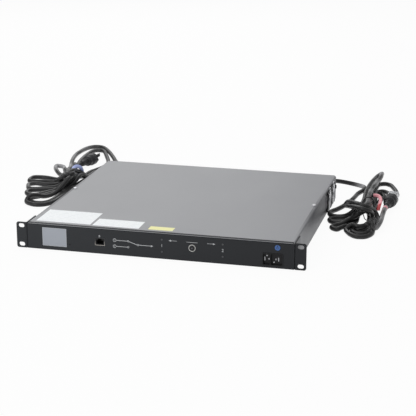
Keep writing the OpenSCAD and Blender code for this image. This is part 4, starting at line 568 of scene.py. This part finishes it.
def makeJacketFinish(setup):
    finish = Finish("cord_rubber", {"Specular IOR Level": 0.3})
    x, y, z = finish.axes()
    cloud = finish.noise(22.0, 3.0)
    share = cloud * 0.1
    for east, north, up, reach, strength in setup["stretches"]:
        away = ((x - east) ** 2.0 + (y - north) ** 2.0 + ((z - up) * 2.5) ** 2.0) ** 0.5
        share = share + (1 - step(away + (cloud - 0.5) * 0.01, reach * 0.7, reach * 0.45)) * strength
    share = finish.node("ShaderNodeClamp", {}, {0: share})
    finish.feed("Base Color", finish.blend(share, tone(*setup["jacketBlack"]), tone(*setup["paintedTone"])))
    grain = finish.noise(900.0, 2.0)
    finish.feed("Roughness", grain * 0.12 + cloud * 0.1 + (setup["roughness"] - 0.1))
    finish.bump(grain, 0.00003)
    return finish


finishes["cord_rubber"] = makeJacketFinish(jacketSetup)

# the plug's cap: a thin clear moulding, a little cloudy all over
capSetup = {"clear": 0.55, "dark": (206, 210, 214), "light": (232, 235, 238), "roughness": 0.12, "cover": 0.5}


def makeCapFinish(setup):
    finish = Finish("clear_cap", {"Transmission Weight": setup["clear"], "IOR": 1.45, "Coat Weight": 0.4})
    cloud = finish.noise(120.0, 2.0)
    finish.feed("Base Color", finish.blend(cloud, tone(*setup["dark"]), tone(*setup["light"])))
    finish.feed("Roughness", cloud * 0.12 + setup["roughness"])
    finish.feed("Alpha", cloud * 0.2 + setup["cover"])
    finish.bump(cloud, 0.00002)
    return finish


finishes["clear_cap"] = makeCapFinish(capSetup)

# nodes whose finish isn't their slot's own
ownFinish = {"preference_ring": "ring_face", "network_jack_shell": "shell_metal",
             "rack_ear_left": "ear_paint", "rack_ear_right": "ear_paint",
             "fan_front_rotor": "fan_plastic", "fan_rear_rotor": "fan_plastic",
             "fan_front_frame": "fan_frame_shadowed", "fan_rear_frame": "fan_frame_shadowed"}
for part in frame["record"]["subparts"]:
    slots = frame["nodes"][part["node"]].data.materials
    material = finishes[ownFinish.get(part["node"], part["material_slot"])].material
    for index in range(len(slots)):
        slots[index] = material
    if not len(slots):
        slots.append(material)
for flex in (cordLeft, cordRight):
    flex.data.materials.append(finishes["cord_rubber"].material)
print("finishes given to every node")

# places on the case that the small pieces are measured from, in metres
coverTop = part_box("top_cover")[1][2]
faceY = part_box("front_panel")[0][1]


def dress(piece, slot, body="case"):
    # a piece's finish and the body that carries it; the record's slot it belongs to is worked out but not
    # kept
    finish = finishes[slot] if slot in finishes else extras[slot]
    piece.data.materials.clear()
    piece.data.materials.append(finish.material)
    slot if slot in finishes else extraFinishes[slot][0]
    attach(piece, body)


def editOn(piece):
    deselectAll()
    piece.select_set(True)
    bpy.context.view_layer.objects.active = piece
    bpy.ops.object.mode_set(mode="EDIT")
    return bmesh.from_edit_mesh(piece.data)


def editOff(piece):
    bmesh.update_edit_mesh(piece.data)
    bpy.ops.object.mode_set(mode="OBJECT")


# papers, inks and tapes: the record's slot, light and dark tone, roughness, metal, grain and its depth
extraFinishes = {
    "label_paper": ("white_plastic", (246, 249, 250), (239, 243, 245), 0.42, 0.0, 0.0006, 0.00001),
    "yellow_paper": ("white_plastic", (243, 241, 170), (238, 235, 158), 0.45, 0.0, 0.0006, 0.00001),
    "panel_ink": ("white_plastic", (208, 210, 212), (190, 192, 195), 0.5, 0.0, 0.0005, 0.00001),
    "blue_tape": ("white_plastic", (196, 208, 250), (158, 172, 232), 0.32, 0.0, 0.0012, 0.00004),
    "pink_tape": ("white_plastic", (244, 176, 184), (232, 150, 160), 0.36, 0.0, 0.0012, 0.00004),
    "red_tape": ("white_plastic", (206, 60, 64), (178, 42, 48), 0.36, 0.0, 0.0012, 0.00004),
    "grey_tie": ("white_plastic", (168, 164, 154), (140, 136, 128), 0.4, 0.0, 0.001, 0.00002),
    "black_tie": ("black_plastic", (34, 34, 36), (24, 24, 26), 0.4, 0.0, 0.001, 0.00002),
    "symbol_ink": ("blue_plastic", (8, 12, 28), (6, 9, 22), 0.4, 0.0, 0.001, 0.00001),
    "dim_ink": ("black_plastic", (104, 106, 110), (92, 94, 98), 0.5, 0.0, 0.0005, 0.00001),
}
extras = {name: makeFinish(name, *values) for name, (slot, *values) in extraFinishes.items()}

# faint ruled lines on the white papers, broken into short runs
ruleSetup = {"pitch": 0.0074, "width": 0.16, "tone": (203, 208, 213), "run": 260.0, "share": 0.55}


def rulePaper(finish, setup):
    x, y, z = finish.axes()
    rows = finish.node("ShaderNodeMath", {"operation": "FRACT"}, {0: y / setup["pitch"]})
    runs = finish.noise(setup["run"], 0.0) > 0.47
    line = (rows < setup["width"]) * runs
    finish.feed("Base Color", finish.blend(line * setup["share"], finish.colour, tone(*setup["tone"])))


rulePaper(extras["label_paper"], ruleSetup)

# stickers on the cover: west, east, south and north edge from the case's front, corner radius, finish
stickers = {
    "sticker_wide": (-0.2120, -0.1185, 0.0140, 0.0785, 0.0015, "label_paper"),
    "sticker_small": (-0.1140, -0.0355, 0.0120, 0.0490, 0.0015, "label_paper"),
    "sticker_yellow": (-0.0200, 0.0210, 0.0130, 0.0300, 0.0012, "yellow_paper"),
}
stickerSetup = {"thickness": 0.00012, "segments": 4}


def makeSlab(name, low, high, chosen, radius, segments, slot):
    # a flat sheet between two opposite corners, with its upright or its top edges rounded
    deselectAll()
    bpy.ops.mesh.primitive_cube_add(size=1)
    slab = bpy.context.object
    slab.name = name
    editOn(slab)
    bpy.ops.mesh.select_all(action="SELECT")
    bpy.ops.transform.resize(value=[far - near for near, far in zip(low, high)])
    bpy.ops.transform.translate(value=[(near + far) / 2 for near, far in zip(low, high)])
    mesh = bmesh.from_edit_mesh(slab.data)
    for edge in mesh.edges:
        first, second = (vert.co.z > (low[2] + high[2]) / 2 for vert in edge.verts)
        edge.select_set(first != second if chosen == "upright" else first and second)
    mesh.select_flush_mode()
    bpy.ops.mesh.bevel(offset=radius, segments=segments)
    editOff(slab)
    dress(slab, slot)


for name, (west, east, south, north, corner, slot) in stickers.items():
    makeSlab(name, (west, faceY + south, coverTop),
             (east, faceY + north, coverTop + stickerSetup["thickness"]),
             "upright", corner, stickerSetup["segments"], slot)
print("stickers laid")

# the panel's folded lip on the cover's front edge, a hair behind the panel's face
lipSetup = {"half": 0.2205, "back": 0.00002, "depth": 0.0052, "height": 0.0006, "round": 0.0004,
            "segments": 3}
makeSlab("panel_lip", (-lipSetup["half"], faceY + lipSetup["back"], coverTop),
         (lipSetup["half"], faceY + lipSetup["back"] + lipSetup["depth"], coverTop + lipSetup["height"]),
         "top", lipSetup["round"], lipSetup["segments"], "panel_paint")
print("panel lip folded")

# marks on the panel, drawn in the plane of its face with x to the right and z up, in metres
inkSetup = {"thickness": 0.00008, "arrowHalf": 0.38, "textSize": 0.7}


def strip(start, end, width):
    # a straight stroke with square ends
    start, end = Vector(start), Vector(end)
    side = (end - start).orthogonal().normalized() * width / 2
    return [start - side, end - side, end + side, start + side]


def arc(centre, radius, width, first, last, count=20):
    # a stroke along part of a circle, angles in degrees
    outer, inner = [], []
    for index in range(count + 1):
        angle = math.radians(first + (last - first) * index / count)
        way = Vector((math.cos(angle), math.sin(angle)))
        outer.append(Vector(centre) + way * (radius + width / 2))
        inner.append(Vector(centre) + way * (radius - width / 2))
    return outer + inner[::-1]


def arrow(tail, tip, width, head):
    # a straight arrow with a solid head
    tail, tip = Vector(tail), Vector(tip)
    way = (tip - tail).normalized()
    side = Vector((-way.y, way.x))
    neck = tip - way * head
    half = side * head * inkSetup["arrowHalf"]
    return [strip(tail, neck, width), [neck + half, neck - half, tip]]


def makeMark(name, outlines, y, slot, body="case"):
    # thin raised ink: every outline becomes a flat shape that stands out towards the viewer
    deselectAll()
    bpy.ops.mesh.primitive_plane_add(size=1)
    mark = bpy.context.object
    mark.name = name
    mesh = editOn(mark)
    bmesh.ops.delete(mesh, geom=mesh.verts[:], context="VERTS")
    for outline in outlines:
        mesh.faces.new([mesh.verts.new((x, y, z)) for x, z in outline])
    bmesh.ops.recalc_face_normals(mesh, faces=mesh.faces)
    for face in mesh.faces:
        if face.normal.y > 0:
            face.normal_flip()
    made = bmesh.ops.extrude_face_region(mesh, geom=mesh.faces[:])
    corners = [item for item in made["geom"] if isinstance(item, bmesh.types.BMVert)]
    bmesh.ops.translate(mesh, verts=corners, vec=(0, -inkSetup["thickness"], 0))
    editOff(mark)
    dress(mark, slot, body)


def makeDigit(name, digit, centre, height, y):
    # a numeral in ink, turned to stand on the panel's face
    deselectAll()
    bpy.ops.object.text_add(radius=height / inkSetup["textSize"])
    numeral = bpy.context.object
    numeral.name = name
    numeral.data.body = digit
    numeral.data.extrude = inkSetup["thickness"] / 2
    numeral.data.align_x = "CENTER"
    numeral.data.align_y = "CENTER"
    bpy.ops.object.convert(target="MESH")
    numeral = bpy.context.object
    front = y - inkSetup["thickness"] / 2
    numeral.data.transform(Matrix.Translation((centre[0], front, centre[1]))
                           @ Matrix.Rotation(math.radians(90), 4, "X"))
    dress(numeral, "panel_ink")


# a plain symbol: two supplies, a switch blade between them and one line out, in thousandths of its scale
changeoverSetup = {
    "centre": (-0.0405, 0.0200), "scale": 0.98,
    "shapes": [
        (strip, (-30.0, 5.2), (-10.5, 5.2), 0.9),
        (arc, (-9.2, 5.2), 1.3, 0.7, 20),
        (arc, (-32.5, 5.2), 2.5, 0.7, 28),
        (strip, (-30.0, -5.2), (-10.5, -5.2), 0.9),
        (arc, (-9.2, -5.2), 1.3, 0.7, 20),
        (arc, (-32.5, -5.2), 2.5, 0.7, 28),
        (strip, (-7.8, 4.8), (6.2, 0.0), 1.0),
        (arc, (7.5, 0.0), 1.3, 0.7, 20),
    ],
    "arrow": ((8.8, 0.0), (34.0, 0.0), 0.9, 4.2),
}


def changeover(setup):
    unit = setup["scale"] / 1000

    def place(spot):
        return tuple(middle + part * unit for middle, part in zip(setup["centre"], spot))

    outlines = []
    for shape, start, reach, width, *count in setup["shapes"]:
        if shape is strip:
            outlines.append(strip(place(start), place(reach), width * unit))
        else:
            outlines.append(arc(place(start), reach * unit, width * unit, 0, 360, *count))
    tail, tip, width, head = setup["arrow"]
    return outlines + arrow(place(tail), place(tip), width * unit, head * unit)


panelMarks = {
    "mark_changeover": changeover(changeoverSetup),
    "mark_arrow_first": arrow((0.0320, 0.0318), (0.0184, 0.0317), 0.0005, 0.0040),
    "mark_arrow_second": arrow((0.0818, 0.0318), (0.0952, 0.0316), 0.0005, 0.0040),
    "mark_choice": [strip((0.0480, 0.0316), (0.0660, 0.0316), 0.0006)],
    "mark_network": [strip((-0.0995, 0.0286), (-0.0965, 0.0286), 0.0006),
                     strip((-0.0980, 0.0286), (-0.0980, 0.0299), 0.0006),
                     strip((-0.0992, 0.0304), (-0.0968, 0.0304), 0.0014)],
}
for name, outlines in panelMarks.items():
    makeMark(name, outlines, faceY, "panel_ink")
# each numeral with the centre and the height of its ink
digits = {
    "mark_one": ("1", (0.0070, 0.0221), 0.0048),
    "mark_two": ("2", (0.1072, 0.0221), 0.0048),
    "mark_supply_one": ("1", (-0.0726, 0.0251), 0.0026),
    "mark_supply_two": ("2", (-0.0726, 0.0149), 0.0026),
}
for name, (digit, centre, height) in digits.items():
    makeDigit(name, digit, centre, height, faceY)
print("panel marked")


# power symbol on the round button and the dot on the preference button
powerSetup = {"ring": 0.0019, "ringStroke": 0.0005, "from": 135, "to": 405,
              "barLow": 0.0006, "barHigh": 0.0036, "barWidth": 0.0013}
dotSetup = {"radius": 0.0005, "stroke": 0.0010}


def middleOf(box):
    return (box[0][0] + box[1][0]) / 2, (box[0][2] + box[1][2]) / 2


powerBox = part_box("power_button")
powerX, powerZ = middleOf(powerBox)
makeMark("mark_power", [
    arc((powerX, powerZ), powerSetup["ring"], powerSetup["ringStroke"], powerSetup["from"],
        powerSetup["to"], 28),
    strip((powerX, powerZ + powerSetup["barLow"]), (powerX, powerZ + powerSetup["barHigh"]),
          powerSetup["barWidth"]),
], powerBox[0][1], "symbol_ink", "power_key")
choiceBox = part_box("preference_button")
makeMark("mark_dot", [arc(middleOf(choiceBox), dotSetup["radius"], dotSetup["stroke"], 0, 359, 24)],
         choiceBox[0][1], "dim_ink", "preference_key")
print("buttons marked")


# strain reliefs: a tapered sleeve on each cord where it leaves its gland
reliefSetup = {"length": 0.042, "wide": 0.0078, "narrow": 0.0047, "rings": 6, "groove": 0.94,
               "plainStart": 0.1, "plainEnd": 0.95, "points": 16, "steps": 16}


def makeRelief(name, route, start, setup):
    # the sleeve follows the cord from a distance along it, with shallow grooves
    line = smoothRoute(route[:setup["points"]], setup["steps"])
    spots, radii, along = [], [], 0.0
    for first, second in zip(line, line[1:]):
        along += (second - first).length
        if start <= along <= start + setup["length"]:
            share = (along - start) / setup["length"]
            spots.append(second)
            ribbed = setup["plainStart"] < share < setup["plainEnd"]
            groove = setup["groove"] if ribbed and int(share * setup["rings"] * 2) % 2 else 1.0
            radii.append((setup["wide"] + (setup["narrow"] - setup["wide"]) * share) * groove)
    relief = makeFlex(name, spots, 1.0, radii)
    relief.data.materials.append(finishes["black_plastic"].material)
    return relief


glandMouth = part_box("gland_a")[1][1] - leftLine[0].y
leftPieces = [makeRelief("relief_left", cordSetup["leftRoute"], glandMouth, reliefSetup)]
rightPieces = [makeRelief("relief_right", cordSetup["rightRoute"], glandMouth, reliefSetup)]
print("strain reliefs made")


# tapes on the looped cords: route, width, the way the flat side faces and finish
ribbonSetup = {"steps": 5, "crown": 0.0005, "thickness": 0.0003}
tapeSetup = {
    "tape_blue": ([
        (-0.2866, 0.1745, 0.022), (-0.2867, 0.1776, 0.028), (-0.2843, 0.1837, 0.031),
        (-0.2792, 0.1866, 0.031), (-0.2749, 0.1892, 0.027), (-0.2743, 0.1938, 0.019),
        (-0.2767, 0.1953, 0.012), (-0.2787, 0.1878, 0.007),
    ], 0.0068, (0.15, -0.92, 0.36), "blue_tape"),
    "flag_pink": ([
        (0.2972, 0.1584, 0.021), (0.3024, 0.1546, 0.023), (0.3081, 0.1465, 0.024),
        (0.3127, 0.1352, 0.023), (0.3141, 0.1251, 0.02), (0.3136, 0.1159, 0.017),
    ], 0.0066, (-0.1, -0.95, 0.3), "pink_tape"),
    "flag_red": ([
        (0.3138, 0.1198, 0.0185), (0.3136, 0.113, 0.016), (0.3133, 0.1079, 0.013),
        (0.3132, 0.1041, 0.01),
    ], 0.0062, (-0.1, -0.95, 0.3), "red_tape"),
}


def makeTape(name, route, width, facing, slot):
    # a ribbon along a route with its flat side turned towards one direction
    line = smoothRoute(route, ribbonSetup["steps"])
    deselectAll()
    bpy.ops.mesh.primitive_plane_add(size=1)
    tape = bpy.context.object
    tape.name = name
    mesh = editOn(tape)
    bmesh.ops.delete(mesh, geom=mesh.verts[:], context="VERTS")
    facing = Vector(facing).normalized()
    rows = []
    for index, spot in enumerate(line):
        way = line[min(index + 1, len(line) - 1)] - line[max(index - 1, 0)]
        side = way.cross(facing).normalized() * width
        rows.append([mesh.verts.new(
            spot + side * share + facing * ribbonSetup["crown"] * (1 - 4 * share ** 2))
            for share in (-0.5, -0.25, 0, 0.25, 0.5)])
    for first, second in zip(rows, rows[1:]):
        for index in range(4):
            mesh.faces.new((first[index], first[index + 1], second[index + 1], second[index]))
    editOff(tape)
    thick = tape.modifiers.new("thickness", "SOLIDIFY")
    thick.thickness = ribbonSetup["thickness"]
    bpy.ops.object.modifier_apply(modifier=thick.name)
    bpy.ops.object.shade_smooth()
    dress(tape, slot)
    return tape


tapes = {name: makeTape(name, *values) for name, values in tapeSetup.items()}
leftPieces.append(tapes["tape_blue"])
rightPieces += [tapes["flag_pink"], tapes["flag_red"]]

# the pink wrap round the right cord near its plug, and the thin tie's end
wrapSetup = {"from": -7, "to": -3, "radius": 0.0046}
tieSetup = {
    "radius": 0.0008, "steps": 6,
    "route": [
        (0.2878, 0.0858, 0.009), (0.291, 0.0802, 0.005), (0.2937, 0.0715, 0.003),
        (0.2977, 0.0683, 0.0015), (0.3016, 0.0679, 0.0012), (0.3056, 0.0617, 0.001),
    ],
}
wrapLine = rightLine[wrapSetup["from"]:wrapSetup["to"]]
wrap = makeFlex("wrap_pink", wrapLine, wrapSetup["radius"])
dress(wrap, "pink_tape")
tie = makeFlex("tie_end", smoothRoute(tieSetup["route"], tieSetup["steps"]), tieSetup["radius"])
dress(tie, "grey_tie")
rightPieces += [wrap, tie]

# a thin black strap round the two legs of the upright loop
strapSetup = {"wide": 0.0105, "tall": 0.0125, "radius": 0.0011,
              "centre": (0.2936, 0.1164, 0.0173), "turn": 22.0, "points": 28}


def makeStrap(setup):
    turn = Matrix.Rotation(math.radians(setup["turn"]), 4, "Z")
    line = []
    for index in range(setup["points"] + 1):
        angle = math.tau * index / setup["points"]
        spot = Vector((math.cos(angle) * setup["wide"], 0, math.sin(angle) * setup["tall"]))
        line.append(Vector(setup["centre"]) + turn @ spot)
    strap = makeFlex("strap_black", line, setup["radius"])
    dress(strap, "black_tie")
    return strap


rightPieces.append(makeStrap(strapSetup))
print("tapes and ties made")

# floor, sky and lamps: each lamp's place, what it points at, its size and its power
stageSetup = {"floor": 40.0, "floorTone": (236, 236, 236), "glow": 0.94, "sky": 0.42}
lamps = {
    "overhead": ((-0.25, 0.1, 2.3), (0.0, 0.0, 0.0), 2.6, 20.5),
    "frontLeft": ((-1.5, -2.0, 1.3), (0.0, 0.0, 0.0), 1.4, 22.0),
    "behind": ((-0.9, 2.2, 1.3), (0.0, 0.1, 0.0), 1.6, 11.0),
}


def makeStage(setup):
    deselectAll()
    bpy.ops.mesh.primitive_plane_add(size=setup["floor"])
    floor = bpy.context.object
    floor.name = "floor"
    finish = Finish("floor_paper", {"Roughness": 0.9, "Specular IOR Level": 0.1})
    finish.shader.inputs["Base Color"].default_value = tone(*setup["floorTone"])
    rays = finish.node("ShaderNodeLightPath")
    seen = finish.node("ShaderNodeMath", {"operation": "MAXIMUM"}, {
        0: rays.out("Is Camera Ray"), 1: rays.out("Is Glossy Ray")})
    seen = finish.node("ShaderNodeMath", {"operation": "MAXIMUM"}, {
        0: seen, 1: rays.out("Is Transmission Ray")})
    glow = finish.node("ShaderNodeEmission", {}, {"Strength": 1.0})
    mixed = finish.node("ShaderNodeMixShader", {}, {
        0: seen * setup["glow"], 1: Wire(finish, finish.shader), 2: glow})
    output = finish.tree.nodes["Material Output"]
    finish.tree.links.new(mixed.socket, output.inputs["Surface"])
    floor.data.materials.append(finish.material)

    world = bpy.data.worlds.new("sky")
    bpy.context.scene.world = world
    world.use_nodes = True
    tree = world.node_tree
    sky, white = tree.nodes["Background"], tree.nodes.new("ShaderNodeBackground")
    for background, strength in ((sky, setup["sky"]), (white, 1.0)):
        background.inputs["Color"].default_value = (1, 1, 1, 1)
        background.inputs["Strength"].default_value = strength
    path = tree.nodes.new("ShaderNodeLightPath")
    both = tree.nodes.new("ShaderNodeMath")
    both.operation = "MAXIMUM"
    mixer = tree.nodes.new("ShaderNodeMixShader")
    for source, target in (
            (path.outputs["Is Camera Ray"], both.inputs[0]),
            (path.outputs["Is Transmission Ray"], both.inputs[1]), (both.outputs[0], mixer.inputs[0]),
            (sky.outputs[0], mixer.inputs[1]), (white.outputs[0], mixer.inputs[2]),
            (mixer.outputs[0], tree.nodes["World Output"].inputs["Surface"])):
        tree.links.new(source, target)


def makeLamp(name, place, target, size, power):
    deselectAll()
    bpy.ops.object.light_add(type="AREA", location=place)
    lamp = bpy.context.object
    lamp.name = name
    lamp.rotation_euler = (Vector(target) - Vector(place)).to_track_quat("-Z", "Y").to_euler()
    lamp.data.size = size
    lamp.data.energy = power


makeStage(stageSetup)
for name, values in lamps.items():
    makeLamp(name, *values)
bpy.context.scene.view_settings.view_transform = "Standard"
print("stage lit")
